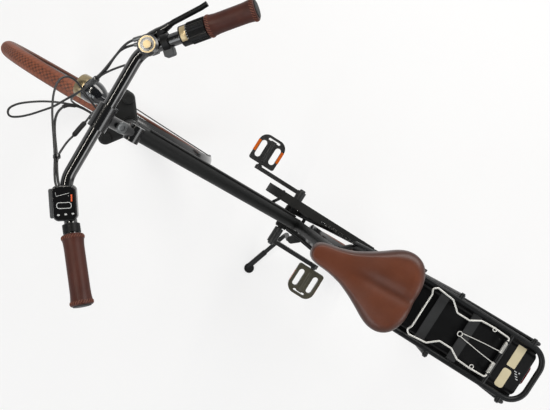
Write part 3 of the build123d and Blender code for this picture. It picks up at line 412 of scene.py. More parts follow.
finishLooks = {
    "satinFrame": look((18, 19, 19), (13, 14, 14), (0.42, 0.52), grain=1500.0, specular=0.2, bump=0.12,
        rub=(80, 80, 80), rubAmount=0.25),
    "glossBar": look((7, 8, 10), (4, 5, 6), (0.10, 0.18), coat=0.8, bump=0.03, grain=400.0),
    "matteBlack": look((22, 23, 23), (16, 17, 17), (0.5, 0.65), grain=2200.0, bump=0.25, specular=0.3,
        rub=(90, 90, 88), rubAmount=0.3),
    "glossPlastic": look((16, 17, 19), (10, 11, 12), (0.16, 0.28), coat=0.3, bump=0.05),
    "deepBlack": look((8, 9, 10), (5, 5, 6), (0.34, 0.48), grain=1800.0, bump=0.12, specular=0.18),
    "rackPaint": look((18, 20, 22), (12, 14, 15), (0.36, 0.48), grain=1400.0, bump=0.12, specular=0.25,
        rub=(95, 97, 98), rubAmount=0.3),
    # the tyres' darker colour below is painted shade in the grooves and on the side walls
    "brownRubber": look((142, 78, 50), (118, 62, 40), (0.5, 0.66), grain=2600.0, bump=0.3, patch=9.0,
        shade=(40, 24, 18)),
    # the saddle's darker colour below is painted shade at its rolled edge, channel and underside
    "saddleLeather": look((110, 58, 36), (86, 43, 25), (0.34, 0.48), patch=9.0, pores=900.0,
        bump=0.10, depth=0.0003, creaseDepth=0.12, specular=0.4, shade=(52, 24, 14)),
    "gripLeather": look((80, 42, 33), (57, 29, 24), (0.34, 0.48), patch=26.0, pores=1100.0,
        bump=0.14, depth=0.0003, creaseDepth=0.15, specular=0.2),
    "stitchThread": look((128, 74, 54), (96, 54, 40), (0.6, 0.8), grain=3000.0, bump=0.4),
    "brightSteel": look((214, 214, 212), (184, 185, 184), (0.22, 0.36), metal=1.0, grain=1200.0, bump=0.06),
    "whiteWire": look((226, 225, 220), (196, 196, 192), (0.3, 0.42), metal=0.35, grain=900.0, bump=0.06),
    "greyAlloy": look((120, 122, 122), (92, 94, 95), (0.3, 0.44), metal=0.9, grain=1600.0, bump=0.12),
    "darkAlloy": look((62, 63, 64), (46, 47, 48), (0.34, 0.46), metal=0.6, grain=1500.0, bump=0.12,
        rub=(140, 140, 138), rubAmount=0.5),
    "cableSkin": look((18, 18, 19), (12, 12, 13), (0.32, 0.44), grain=2600.0, bump=0.1),
    "lampShell": look((14, 18, 24), (9, 11, 15), (0.12, 0.2), coat=0.8, bump=0.03),
    "creamMetal": look((184, 166, 128), (150, 132, 98), (0.25, 0.4), metal=0.5, bump=0.06),
    "creamLabel": look((206, 195, 162), (190, 179, 146), (0.4, 0.55), bump=0.05),
    "olivePedal": look((74, 70, 52), (52, 50, 40), (0.42, 0.56), grain=1500.0, bump=0.2,
        rub=(120, 116, 96), rubAmount=0.4),
    "amberReflector": look((214, 104, 22), (186, 78, 12), (0.15, 0.25), coat=0.6, bump=0.05),
    "redLens": look((128, 10, 12), (96, 6, 8), (0.12, 0.2), coat=0.8),
    "screenGlass": look((7, 8, 9), (5, 5, 6), (0.10, 0.16), coat=0.5),
    "markGrey": look((196, 198, 198), (178, 180, 180), (0.4, 0.5)),
    "markOrange": look((236, 104, 58), (222, 90, 48), (0.35, 0.45)),
    "bezelMetal": look((178, 160, 124), (120, 108, 86), (0.16, 0.3), metal=0.95, patch=40.0, bump=0.06),
    "strapGrey": look((42, 43, 44), (34, 35, 36), (0.5, 0.62), grain=1600.0, bump=0.2, specular=0.25),
    "greyPlastic": look((70, 72, 74), (54, 56, 58), (0.4, 0.52), grain=1600.0, bump=0.15),
    "darkSteel": look((70, 71, 72), (50, 51, 52), (0.28, 0.4), metal=0.9, bump=0.06),
    "capRubber": look((20, 20, 21), (14, 14, 15), (0.5, 0.62), grain=2400.0, bump=0.2, specular=0.3),
}
finishes = {name: makeFinish(name, given) for name, given in finishLooks.items()}
print("finishes made:", len(finishes))


def paint(obj, finishName):
    obj.data.materials.clear()
    obj.data.materials.append(finishes[finishName])
    return obj


# a new piece: its finish, the body that carries it, and the solids it stands for
def dress(obj, finishName, body, stands=()):
    paint(obj, finishName)
    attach(obj, body)
    if stands:
        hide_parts(*stands)
    return obj


# one piece from several grids of upright millimetres, placed with the fork or with the frame
def putGrids(name, grids, finishName, body, stands=(), closed=False):
    place = onFork if body in ("steering", "front_wheel") else onBike
    points, quads = joinGrids([place(g) for g in grids], roundRows=closed)
    return dress(putMesh(name, points, quads), finishName, body, stands)


solidFinishes = {
    "satinFrame": ["head_tube", "headset_cups", "seat_tube", "top_tube", "down_tube", "chain_stays",
                   "seat_stays"],
    "matteBlack": ["fork_crown", "fork_legs", "chain_guard", "stand_bracket", "seat_clamp", "gear_box",
                   "brake_arm"],
    "glossBar": ["handlebar", "front_rim", "rear_rim"],
    "glossPlastic": ["front_mudguard", "rear_mudguard", "stem", "bell", "display"],
    "deepBlack": ["battery", "twist_shifter", "collar_left", "brake_lever", "hub_motor"],
    "rackPaint": ["rack", "rack_struts", "stand_leg"],
    "whiteWire": ["rack_clip", "clip_spring"],
    "brightSteel": ["front_spokes", "rear_spokes", "front_axle", "rear_axle", "saddle_rails"],
    "greyAlloy": ["gear_hub", "seat_post"],
    "darkAlloy": ["chain", "crank_left", "crank_right", "pedal_right", "front_brake"],
    "olivePedal": ["pedal_left"],
    "lampShell": ["head_lamp"],
    "creamMetal": ["lamp_lens"],
    "redLens": ["tail_lamp"],
    "cableSkin": ["frame_cable", "cable_brake", "cable_shift", "cable_display"],
    "brownRubber": ["front_tyre", "rear_tyre"],
    "gripLeather": ["grip_left", "grip_right"],
    "saddleLeather": ["saddle"],
}
for finishName, names in solidFinishes.items():
    for name in names:
        paint(frame["nodes"][name], finishName)
print("solids painted")

# Camera: straight down from above the middle of the bicycle, the front to the upper left
shot = {
    "fromRearAxle": (0.4964, 0.0881, 1.8239),
    "turn": 212.26,  # degrees from the bicycle's own heading
    "tiltDown": -2.92,
    "tiltAside": -1.47,
    "focal": 558.61,  # in pixels of an image 550 wide
    "imageWide": 550.0,
}


def addCamera():
    a = math.radians(shot["turn"])
    flat = Matrix(((math.cos(a), math.sin(a), 0), (math.sin(a), -math.cos(a), 0), (0, 0, -1)))
    tilt = Matrix.Rotation(math.radians(shot["tiltDown"]), 3, "X")
    tilt = tilt @ Matrix.Rotation(math.radians(shot["tiltAside"]), 3, "Y")
    rows = tilt @ flat
    place = Matrix((rows[0], -rows[1], -rows[2])).transposed().to_4x4()
    place.translation = rearAxle + np.array(shot["fromRearAxle"])
    lens = bpy.data.cameras.new("camera")
    lens.sensor_width = 36.0
    lens.lens = 36.0 * shot["focal"] / shot["imageWide"]
    camera = bpy.data.objects.new("camera", lens)
    camera.matrix_world = place
    bpy.context.scene.collection.objects.link(camera)
    bpy.context.scene.camera = camera


addCamera()

# Studio: pale floor, soft lights from both sides and behind, and a thin bright one above the bar
studio = {
    "worldStrength": 0.1,
    "floorGrey": 0.9,
    "floorShown": 0.7,  # share of plain white that the camera and mirrors see
    "lamps": [
        # place, aim, width, length, watts, colour
        ((-0.3, -2.6, 2.4), (0.0, 0.0, 0.6), 1.2, 3.2, 80.0, (1.0, 0.98, 0.95)),
        ((0.6, 2.4, 2.8), (0.0, 0.0, 0.5), 1.6, 2.6, 42.0, (0.94, 0.97, 1.0)),
        ((-2.6, 0.2, 2.2), (-0.2, 0.0, 0.6), 1.4, 1.4, 22.0, (1.0, 1.0, 1.0)),
        ((1.15, 0.1, 3.4), (0.3, 0.0, 1.0), 0.12, 2.4, 30.0, (1.0, 0.95, 0.86)),
    ],
    # height and radius of the floor, curving up to a pale wall
    "floor": [(0.0, 0.0), (0.0, 7.0), (0.12, 7.8), (0.5, 8.6), (1.2, 9.0), (7.0, 9.2)],
}


def addStudio():
    scene = bpy.context.scene
    scene.view_settings.view_transform = "Standard"
    world = bpy.data.worlds.new("studio")
    world.use_nodes = True
    sky = world.node_tree.nodes["Background"]
    setSockets(sky, {"Color": (1, 1, 1, 1), "Strength": studio["worldStrength"]})
    scene.world = world
    for number, (place, aim, wide, long, watts, colour) in enumerate(studio["lamps"]):
        light = bpy.data.lights.new(f"softLight{number}", "AREA")
        light.shape = "RECTANGLE"
        light.size, light.size_y = long, wide
        light.energy, light.color = watts, colour
        lamp = bpy.data.objects.new(light.name, light)
        turn = (Vector(aim) - Vector(place)).to_track_quat("-Z", "Y")
        lamp.matrix_world = Matrix.Translation(place) @ turn.to_matrix().to_4x4()
        scene.collection.objects.link(lamp)
    grid = turnedGrid(studio["floor"], (0, 0, 0), (0, 0, 1), 96)
    floor = putMesh("floor", grid, gridQuads(*grid.shape[:2])[:, ::-1], weld=False)
    material = bpy.data.materials.new("paleFloor")
    material.use_nodes = True
    tree = material.node_tree
    shader = setSockets(tree.nodes["Principled BSDF"], {
        "Base Color": (*[studio["floorGrey"]] * 3, 1), "Roughness": 0.9, "Specular IOR Level": 0.0,
    })
    glow = node(tree, "Emission")
    path = node(tree, "LightPath")
    mirrored = node(tree, "Math", operation="MAXIMUM")
    seen = node(tree, "Math", operation="MAXIMUM")
    weight = node(tree, "Math", {1: studio["floorShown"]}, operation="MULTIPLY")
    mix = node(tree, "MixShader")
    wire(tree, [
        (path, "Is Glossy Ray", mirrored, 0), (path, "Is Transmission Ray", mirrored, 1),
        (path, "Is Camera Ray", seen, 0), (mirrored, 0, seen, 1), (seen, 0, weight, 0),
        (weight, 0, mix, "Fac"), (shader, 0, mix, 1), (glow, 0, mix, 2),
        (mix, 0, tree.nodes["Material Output"], "Surface"),
    ])
    floor.data.materials.append(material)


addStudio()
print("camera and studio set")

# Cables: routes in upright millimetres, turned with the fork
cableRoutes = {
    "brakeCable": {
        "r": 2.5,
        "solid": "cable_brake",
        "points": [(896, -182, 1064), (912, -168, 1060), (928, -150, 1052), (940, -112, 1036),
                   (953, -75, 1018), (964, -58, 1006), (980, -41, 982), (1009, -32, 930),
                   (1032, -34, 850), (1028, -40, 770), (1018, -41, 712)],
    },
    "shiftCable": {
        "r": 2.5,
        "solid": "cable_shift",
        "across": [(925, -100, 1030), (900, 36, 812)],
        "points": [(826, -216, 1069), (858, -192, 1050), (900, -170, 1046), (932, -142, 1042),
                   (942, -116, 1031), (948, -88, 1016), (962, -55, 1002), (978, -32, 988),
                   (996, -8, 974), (1014, 13, 961), (1037, 43, 944), (1059, 63, 932), (1083, 86, 920),
                   (1109, 107, 910), (1134, 120, 902), (1148, 107, 897), (1138, 88, 896),
                   (1118, 70, 894), (1085, 47, 890), (1049, 29, 884), (1015, 16, 868), (985, 20, 842),
                   (946, 28, 818), (905, 24, 798), (866, 18, 782)],
    },
    "displayCable": {
        "r": 2.3,
        "solid": "cable_display",
        "across": [(940, 90, 1050), (880, 10, 850)],
        "points": [(878, 172, 1086), (894, 164, 1084), (911, 142, 1080), (928, 119, 1070),
                   (954, 92, 1054), (980, 66, 1038), (1001, 44, 1024), (1021, 20, 1008), (1034, -2, 994),
                   (1040, -20, 980), (1034, -33, 966), (1020, -33, 950), (1005, -22, 930),
                   (992, -10, 905), (972, 2, 882), (938, 14, 872), (890, 20, 866), (850, 14, 850)],
    },
    "motorCable": {
        "r": 2.6,
        "across": [(940, 90, 1050), (890, 20, 830)],
        "points": [(870, 170, 1082), (888, 163, 1082), (909, 138, 1077), (927, 116, 1066),
                   (945, 98, 1056), (962, 82, 1045), (978, 66, 1033), (992, 50, 1017), (1000, 35, 996),
                   (1004, 24, 970), (1003, 18, 938), (1000, 16, 895), (988, 18, 856), (955, 24, 828),
                   (905, 20, 806), (868, 10, 792)],
    },
    "linkCable": {
        "r": 2.2,
        "across": [(930, 80, 1040), (890, 0, 850)],
        "points": [(920, 122, 1072), (927, 112, 1066), (930, 97, 1056), (933, 80, 1044), (933, 64, 1030),
                   (936, 46, 1014), (938, 30, 998), (945, 14, 974), (955, 2, 940), (958, -4, 900),
                   (940, 2, 868), (905, 10, 850), (868, 10, 846)],
    },
    "leadCable": {
        "r": 2.2,
        "across": [(925, -100, 1030), (900, 30, 812)],
        "points": [(890, -128, 1050), (901, -120, 1050), (927, -98, 1034), (949, -76, 1018),
                   (963, -57, 1004), (979, -33, 984), (1004, -4, 958), (1020, 12, 928), (1020, 17, 892),
                   (1003, 16, 860), (968, 20, 832), (925, 24, 808), (882, 20, 790)],
    },
}


# a cable's piece that runs between fork and frame keeps its place with its transform baked in, one on the
# fork alone rides with the steering
def carryCable(obj, cable):
    if "across" in cable:
        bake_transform(obj)
    else:
        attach(obj, "steering")


def addCables():
    for name, cable in cableRoutes.items():
        path = smoothRoute(onFork(cable["points"]), 6)
        points, quads = joinGrids([tubeGrid(path, cable["r"] / 1000, 12)])
        obj = paint(putMesh(name, points, quads), "cableSkin")
        carryCable(obj, cable)
        if "solid" in cable:
            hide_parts(cable["solid"])


addCables()
print("cables laid:", len(cableRoutes))

# Tyres: round section on the rim seat, diamond tread in the middle, ribbed shoulders, with painted shade in
# the grooves, on the side walls and down to the bead
tyre = {
    "half": 23.5,  # half the width of the round section
    "foot": 317.6,  # radius where the side wall ends
    "seat": 311.3,  # radius of the bead on the rim
    "beadHalf": 9.3,
    "treadHalf": 13.0,
    "groove": 1.5,
    "grooveEdge": (0.16, 0.42),
    "ribEdge": (0.1, 0.4),
    "ribEnd": (24, 27),  # from the middle, round the section
    # round the section from the middle, where the side walls get painted shade
    "wallPaintedShade": (22, 30),
    "slant": 1.1,
    "pitch": 14.0,
    "around": 1170,
    "across": 34,
}


# section angle a and turn b: radius = middle + half cos a less the grooves, width = half sin a
def tyreGrid(centre, axleAxis):
    mid = bike["wheelRadius"] - tyre["half"]
    reach = math.acos((tyre["foot"] - mid) / tyre["half"])
    a = np.linspace(-reach, reach, tyre["across"])
    b = np.linspace(0, 2 * math.pi, tyre["around"], endpoint=False)
    b, a = np.meshgrid(b, a, indexing="ij")
    across = tyre["half"] * a
    count = round(2 * math.pi * bike["wheelRadius"] / tyre["pitch"])
    run = b * count
    slant = across / tyre["pitch"] * math.pi * tyre["slant"]
    lines = np.minimum(np.abs(np.sin(run / 2 + slant)), np.abs(np.sin(run / 2 - slant)))
    cut = 1 - smoothStep(lines, *tyre["grooveEdge"])
    middle = 1 - smoothStep(np.abs(across), tyre["treadHalf"], tyre["treadHalf"] + 1.5)
    sides = smoothStep(np.abs(across), tyre["treadHalf"] + 2.5, tyre["treadHalf"] + 4)
    sides = sides * (1 - smoothStep(np.abs(across), *tyre["ribEnd"]))
    rib = (1 - smoothStep(np.abs(np.sin(run / 2)), *tyre["ribEdge"])) * sides
    depth = tyre["groove"] * (cut * middle + 0.5 * rib)
    r = mid + (tyre["half"] - depth) * np.cos(a)
    w = (tyre["half"] - depth) * np.sin(a)
    side = unit(np.cross(axleAxis, [0, 0, 1.0]))
    over = np.cross(axleAxis, side)
    spot = np.cos(b)[..., None] * side + np.sin(b)[..., None] * over
    # painted shade: darker in the grooves and towards the side walls
    shade = np.maximum(0.85 * depth / tyre["groove"], 0.5 * smoothStep(np.abs(across), *tyre["wallPaintedShade"]))
    return np.asarray(centre) + (r[..., None] * spot + w[..., None] * axleAxis) / 1000, shade


def addTyres():
    for body, joint in (("front_wheel", "front_spin"), ("rear_wheel", "rear_spin")):
        centre, axle = np.array(joints[joint]["pos_m"]), unit(np.array(joints[joint]["axis"]))
        grid, shade = tyreGrid(centre, axle)
        out = grid - centre
        radial = unit(out - (out @ axle)[..., None] * axle)
        rows = [grid]
        for column, side, key in ((-1, 1, "foot"), (-1, 1, "seat"), (0, -1, "seat"), (0, -1, "foot")):
            edge = radial[:, column][:, None] * (tyre[key] / 1000)
            rows.append(centre + edge + side * axle * (tyre["beadHalf"] / 1000))
        loop = np.concatenate(rows, axis=1)
        # the rows down to the bead fully darkened: painted shade
        shade = np.concatenate([shade, np.ones((len(shade), len(rows) - 1))], axis=1)
        quads = gridQuads(*loop.shape[:2], True, True)
        obj = putMesh(body.replace("_wheel", "TyreTread"), loop, quads, shade)
        dress(obj, "brownRubber", body, [body.replace("wheel", "tyre")])


addTyres()
print("tyres made")

# Saddle: a padded leather top, two lobes with a channel between them at the back, with painted shade in the
# channel, at the rolled edge and underneath
saddle = {
    "yaw": 4.5,  # degrees, nose to the left
    "pivot": (240.0, 0.0, 870.0),
    "top": 916.0,
    "edge": 17.0,
    # x, half width of the plan from tail to nose
    "plan": [(113, 0), (113, 44), (117, 64), (125, 81), (139, 94), (158, 101), (178, 100), (199, 91),
             (224, 74), (250, 58), (285, 40), (318, 31), (348, 27), (366, 23.5), (376, 16), (380, 0)],
    "spine": (178.0, 348.0),
    "dip": (10.5, 130, 300),  # depth, then where it begins and its length
    "noseDrop": (4.0, 250, 380),  # depth, then from and to
    "tailDrop": (3.5, 112, 150),
    "crown": 6.0,
    "channelFade": (215, 318),
    "lobeFade": (200, 290),
    "channel": (6.0, 17.0),  # depth and half width
    "lobe": (3.5, 46.0, 30.0),  # height, middle from the spine, half width
    "rollFrom": 0.78,  # share of the way out where the edge rolls over
    # below the rolled edge and in from the outline
    "skirtRows": [(5.0, -0.6), (13.0, -0.6), (22.0, 0.6), (30.0, 3.4), (30.0, 7.0), (31.0, 11.0)],
}


# plan: both halves of the outline, evenly spaced and rounded by averaging with its neighbours
def saddleOutline(count):
    half = np.array(saddle["plan"], float)
    loop = np.concatenate([half, half[-2:0:-1] * [1, -1]])
    loop = np.concatenate([loop, loop[:1]])
    step = np.r_[0, np.cumsum(np.linalg.norm(np.diff(loop, axis=0), axis=1))]
    s = np.linspace(0, step[-1], count, endpoint=False)
    line = np.c_[np.interp(s, step, loop[:, 0]), np.interp(s, step, loop[:, 1])]
    for _ in range(14):
        line = 0.5 * line + 0.25 * (np.roll(line, 1, 0) + np.roll(line, -1, 0))
    return line


# height of the top: a long dip from tail to nose, a crown across, lobes and channel fading to the nose
def saddleTop(x, y):
    deep, start, long = saddle["dip"]
    dip = saddle["top"] - deep * np.sin(np.clip((x - start) / long, 0, 1) * math.pi) ** 1.3
    deep, start, end = saddle["noseDrop"]
    dip = dip - deep * smoothStep(x, start, end)
    halfWide = np.interp(x, *np.array(saddle["plan"][1:-1], float).T)
    share = np.abs(y) / np.maximum(halfWide, 12)
    crown = -saddle["crown"] * share ** 2.4
    fade = 1 - smoothStep(x, *saddle["channelFade"])
    deep, wide = saddle["channel"]
    channel = -deep * np.exp(-(y / wide) ** 2) * fade
    high, middle, wide = saddle["lobe"]
    lobe = high * np.exp(-((np.abs(y) - middle) / wide) ** 2) * (1 - smoothStep(x, *saddle["lobeFade"]))
    deep, start, end = saddle["tailDrop"]
    tail = -deep * (1 - smoothStep(x, start, end))
    return dip + crown + channel + lobe + tail


# rows from the spine out to the outline, over the rolled edge, down the skirt and in under the pan
def addSaddle():
    outline = saddleOutline(220)
    spine = np.c_[np.clip(outline[:, 0], *saddle["spine"]), np.zeros(len(outline))]
    start = saddle["rollFrom"]
    over = np.sin(np.linspace(0, math.pi / 2, 13)[1:])
    share = np.r_[np.linspace(0, start, 22), start + (1 - start) * over]
    flat = spine[:, None] + share[None, :, None] * (outline - spine)[:, None]
    z = saddleTop(flat[..., 0], flat[..., 1])
    roll = np.clip((share - start) / (1 - start), 0, 1)
    z = z - saddle["edge"] * (1 - np.sqrt(1 - roll ** 2 * 0.998))
    top = np.concatenate([flat, z[..., None]], -1)
    inward = unit(spine - outline + 1e-9)
    skirtZ, skirtIn = np.array(saddle["skirtRows"]).T
    ring = outline[:, None] + inward[:, None] * skirtIn[None, :, None]
    skirt = np.concatenate([ring, (z[:, -1:] - skirtZ[None, :])[..., None]], -1)
    under = spine[:, None] + np.array([0.7, 0.35, 0.0])[None, :, None] * (ring[:, -1:] - spine[:, None])
    underZ = skirt[:, -1:, 2] + 3.0 + np.array([1.0, 3.0, 3.0])[None, :]
    pan = np.concatenate([under, underZ[..., None]], -1)
    grid = np.concatenate([top, skirt, pan], axis=1)
    # painted shade: darker along the channel at the back, towards the rolled edge, and fully dark on the
    # skirt and pan underneath
    groove = np.exp(-(flat[..., 1] / 9.0) ** 2) * (1 - smoothStep(flat[..., 0], 200, 300))
    shade = np.maximum(0.9 * smoothStep(share, 0.72, 1.0)[None, :], 0.45 * groove)
    shade = np.concatenate([shade, np.ones((len(outline), grid.shape[1] - shade.shape[1]))], axis=1)
    grid = turned(grid, np.array(saddle["pivot"]), np.array([0, 0, 1.0]), saddle["yaw"])
    quads = gridQuads(*grid.shape[:2], True, False)
    obj = putMesh("saddleTop", onBike(grid), quads, shade)
    dress(obj, "saddleLeather", "frame", ["saddle"])


addSaddle()
print("saddle made")

# Handlebar line and the grips on its swept ends
bar = {
    "bend": (888.0, 150.0, 1066.0),
    "end": (724.0, 321.5, 1123.0),
}
barBend, barEnd = np.array(bar["bend"]), np.array(bar["end"])
barReach = np.linalg.norm(barEnd - barBend)
barWay = (barEnd - barBend) / barReach
mirrorSide = {1: np.array([1, 1, 1.0]), -1: np.array([1, -1, 1.0])}
rightWay = barWay * mirrorSide[-1]
rightAhead = unit(np.cross([0, 0, 1.0], rightWay))  # level, square to the right half


# a place along the swept part of the bar: left half 1, right half -1
def onBar(side, t):
    return (barBend + barWay * t) * mirrorSide[side]


grip = {
    "middle": 19.3,
    "flare": 2.2,
    "flareLength": 15.0,
    "past": 7.0,  # leather beyond the end of the bar
    "stitches": 26,
    "stitchFrom": 5.6,  # from each end of the leather
    "thread": 0.75,
    "threadLift": 0.9,
    "threadSunk": 0.4,
    "threadLean": 3.2,
    "sides": 64,
    "cap": [(0, 0), (0, 17.5), (1.2, 17.4), (1.8, 16.2), (2.2, 13.0), (2.3, 0)],
    # name, solid, start along the bar
    "pieces": {1: ("leftGrip", "grip_left", 111.0), -1: ("rightGrip", "grip_right", 149.0)},
}


# radius along the grip: a plain middle, both ends swelling over the flare length, then rounded off
def gripProfile(length):
    t = np.r_[0, 0, np.linspace(0, 3, 7), np.linspace(4, length - 4, 60)]
    t = np.r_[t, length - np.linspace(3, 0, 7), length, length]
    d = np.minimum(t, length - t)
    r = grip["middle"] + grip["flare"] * np.exp(-(d / grip["flareLength"]) ** 2)
    r = r + 0.5 * np.exp(-((d - 7) / 1.2) ** 2) - 0.5 * np.exp(-((d - 4.4) / 1.0) ** 2)
    r = r - 3.0 * (1 - np.sqrt(np.clip(1 - (1 - np.clip(d / 3.0, 0, 1)) ** 2, 0, 1)))
    r[0] = r[-1] = 0
    return np.c_[t, r]


# a stitch leans along the grip while it goes round by its step, and lifts off the leather in its middle
def addGrips():
    s = np.linspace(-1, 1, 7)
    step = math.pi / grip["stitches"] * 0.9
    for side, (name, solid, start) in grip["pieces"].items():
        length = barReach + grip["past"] - start
        way = barWay * mirrorSide[side]
        profile = gripProfile(length)
        leather = turnedGrid(profile, onBar(side, start), way, grip["sides"])
        putGrids(name + "Leather", [leather], "gripLeather", "steering", [solid])
        ref = unit(np.cross(way, [0, 0, 1.0]))
        over = np.cross(way, ref)
        threads = []
        for end in (grip["stitchFrom"], length - grip["stitchFrom"]):
            lift = np.interp(end, *profile.T) + grip["threadLift"] * (1 - s ** 2) - grip["threadSunk"]
            for a in np.arange(grip["stitches"]) / grip["stitches"] * 2 * math.pi:
                angle = a + s * step
                ring = np.cos(angle)[:, None] * ref + np.sin(angle)[:, None] * over
                line = onBar(side, start + end) + way * (grip["threadLean"] * s)[:, None]
                threads.append(tubeGrid(line + ring * lift[:, None], grip["thread"], 6))
        putGrids(name + "Stitches", threads, "stitchThread", "steering")
        cap = turnedGrid(grip["cap"], onBar(side, barReach + grip["past"]), way, 40)
        putGrids(name + "Cap", [cap], "capRubber", "steering")


addGrips()
print("grips wrapped")

# Display: glass over the case, plain line marks, three keys and a strip along its front
display = {
    "t": 43.0,  # along the left half of the bar
    "lift": (-3.0, 0.0, 21.0),
    "across": (-0.56, 0.81, 0.14),
    "up": (-0.2, -0.03, 0.98),
    "top": 8.0,
    # heights from the top of the case
    "glassLow": -1.0,
    "glassHigh": 0.4,
    "markHigh": 0.35,
    "lightHigh": 0.2,
    "keyHigh": 0.9,
    # radius of the frame's line and of the light
    "frameLine": 0.75,
    "lightLine": 1.5,
    "glass": (32.5, 20.5, 8.5),  # half length, half width, corner
    # line marks on the glass: points along and across, then radius
    "strokes": [([(-22, -15), (-14.4, -14), (-19.8, 9.6)], 0.55), ([(-14.6, 8.6), (-14.6, 9.4)], 0.9)],
    "light": [(-17, 14.6), (-3.5, 14.0)],
    "frameAt": (4.0, -0.5),
    "frame": (5.6, 13.5, 4.5),
    "keysAt": [(22.3, -12.0), (21.4, 1.7), (20.6, 15.0)],
    "key": (1.7, 2.5, 1.6),
    "stripAt": (0, -25.2),
    "strip": (29.0, 3.6, 3.0),
    "stripLow": -3.0,
    "stripHigh": 5.0,
}


def addDisplay():
    up = unit(np.array(display["up"]))
    across = np.array(display["across"])
    across = unit(across - up * (across @ up))
    plane = (onBar(1, display["t"]) + np.array(display["lift"]), across, np.cross(up, across))
    top = display["top"]

    # a line on the face, at one height above the plane
    def lay(line, high):
        p = np.array(line, float)
        return plane[0] + p[..., :1] * plane[1] + p[..., 1:] * plane[2] + high * np.cross(plane[1], plane[2])

    low, high = top + display["glassLow"], top + display["glassHigh"]
    glass = slabGrid(roundRect(*display["glass"]), plane, low, high, 0.4)
    putGrids("displayGlass", [glass], "screenGlass", "steering")
    markHigh = top + display["markHigh"]
    marks = [tubeGrid(lay(line, markHigh), r, 8) for line, r in display["strokes"]]
    ring = roundRect(*display["frame"]) + display["frameAt"]
    ring = np.concatenate([ring, ring[:1]])
    marks.append(tubeGrid(lay(ring, markHigh), display["frameLine"], 8))
    key = roundRect(*display["key"])
    marks += [slabGrid(key + spot, plane, top, top + display["keyHigh"], 0.3) for spot in display["keysAt"]]
    putGrids("displayMarks", marks, "markGrey", "steering")
    light = tubeGrid(lay(display["light"], top + display["lightHigh"]), display["lightLine"], 10)
    putGrids("displayLight", [light], "markOrange", "steering")
    strip = roundRect(*display["strip"]) + display["stripAt"]
    strip = slabGrid(strip, plane, display["stripLow"], display["stripHigh"], 1.0)
    putGrids("displayStrip", [strip], "greyPlastic", "steering")


addDisplay()
print("display made")

# Battery: two blank label plates, a charge row and a dot on the lid
battery = {
    "lid": 814.9,
    # middle x, middle y, half length, half width, corner
    "plates": [(-192.0, -29.0, 11.5, 29.0, 2.0), (-191.0, 32.0, 11.5, 25.0, 7.0)],
    "barsAt": [(-209.0, 3.0), (-213.0, 8.0), (-217.0, 13.0), (-221.0, 18.0)],
    "bar": (3.4, 1.1, 0.6),
    "dot": (-219.0, 2.0, 1.8, 1.8, 1.7),
    # from and to, measured from the lid
    "plateHigh": (-0.5, 0.6),
    "barHigh": (-0.4, 0.4),
    "dotHigh": (-0.4, 0.5),
}


def addBatteryMarks():
    plane = ((0, 0, battery["lid"]), (1, 0, 0), (0, 1, 0))

    def onLid(x, y, halfX, halfY, corner, low, high):
        return slabGrid(roundRect(halfX, halfY, corner) + [x, y], plane, low, high, 0.2)

    plates = [onLid(*row, *battery["plateHigh"]) for row in battery["plates"]]
    putGrids("batteryPlates", plates, "creamLabel", "frame")
    marks = [onLid(*spot, *battery["bar"], *battery["barHigh"]) for spot in battery["barsAt"]]
    marks.append(onLid(*battery["dot"], *battery["dotHigh"]))
    putGrids("batteryMarks", marks, "markGrey", "frame")


addBatteryMarks()

# Rack: grey covers over its two cross straps, and thin rails that fill the gap beside the battery
rack = {
    # finish, then middle x, middle y, half length, half width, low, high
    "rackStraps": ("strapGrey", [(x, 0.0, 12.0, 64.0, 821.4, 824.56) for x in (36.0, -56.0)]),
    "batteryRails": ("deepBlack", [(-66.0, y, 168.0, 5.4, 802.0, 804.0) for y in (63.5, -63.5)]),
}


def addRackPlates():
    for name, (finishName, rows) in rack.items():
        plates = []
        for x, y, halfX, halfY, low, high in rows:
            plane = ((x, y, 0), (1, 0, 0), (0, 1, 0))
            plates.append(slabGrid(roundRect(halfX, halfY, 2.0), plane, low, high, 0.3))
        putGrids(name, plates, finishName, "frame")


addRackPlates()
print("battery and rack trimmed")

# Bell: two cream rings let into its stepped disc, painted highlights on the bell's black top
bell = {
    "t": 27.0,
    "lift": (2.0, 2.0, 19.0),
    "disc": [(12.9, 0), (12.9, 8.0), (13.25, 7.7), (13.4, 0)],
    "ring": [(11.8, 13.6), (12.3, 13.8), (12.3, 16.4), (11.8, 16.6)],
}


def addBell():
    centre = onBar(-1, bell["t"]) + np.array(bell["lift"])
    # the cream disc and ring: painted highlight
    disc = turnedGrid(bell["disc"], centre, (0, 0, 1), 40)
    putGrids("bellHighlightDisc", [disc], "creamMetal", "steering")
    ring = turnedGrid(bell["ring"], centre, (0, 0, 1), 48)
    putGrids("bellHighlightRing", [ring], "creamMetal", "steering", closed=True)


addBell()

# Twist shifter: a cream window with white dots round the housing
shifter = {
    "start": 97.0,
    "end": 109.0,
    "r": 20.0,
    "spread": 46.0,
    "bulge": 0.5,
    "sunk": 0.8,
    "dots": 6,
    "dotSpread": 1.6,  # whole fan of dots, in spreads
    "dotPast": 1.2,  # beyond the window's end
    "dot": [(-0.3, 0), (-0.3, 1.1), (0.3, 0.9), (0.5, 0)],
}


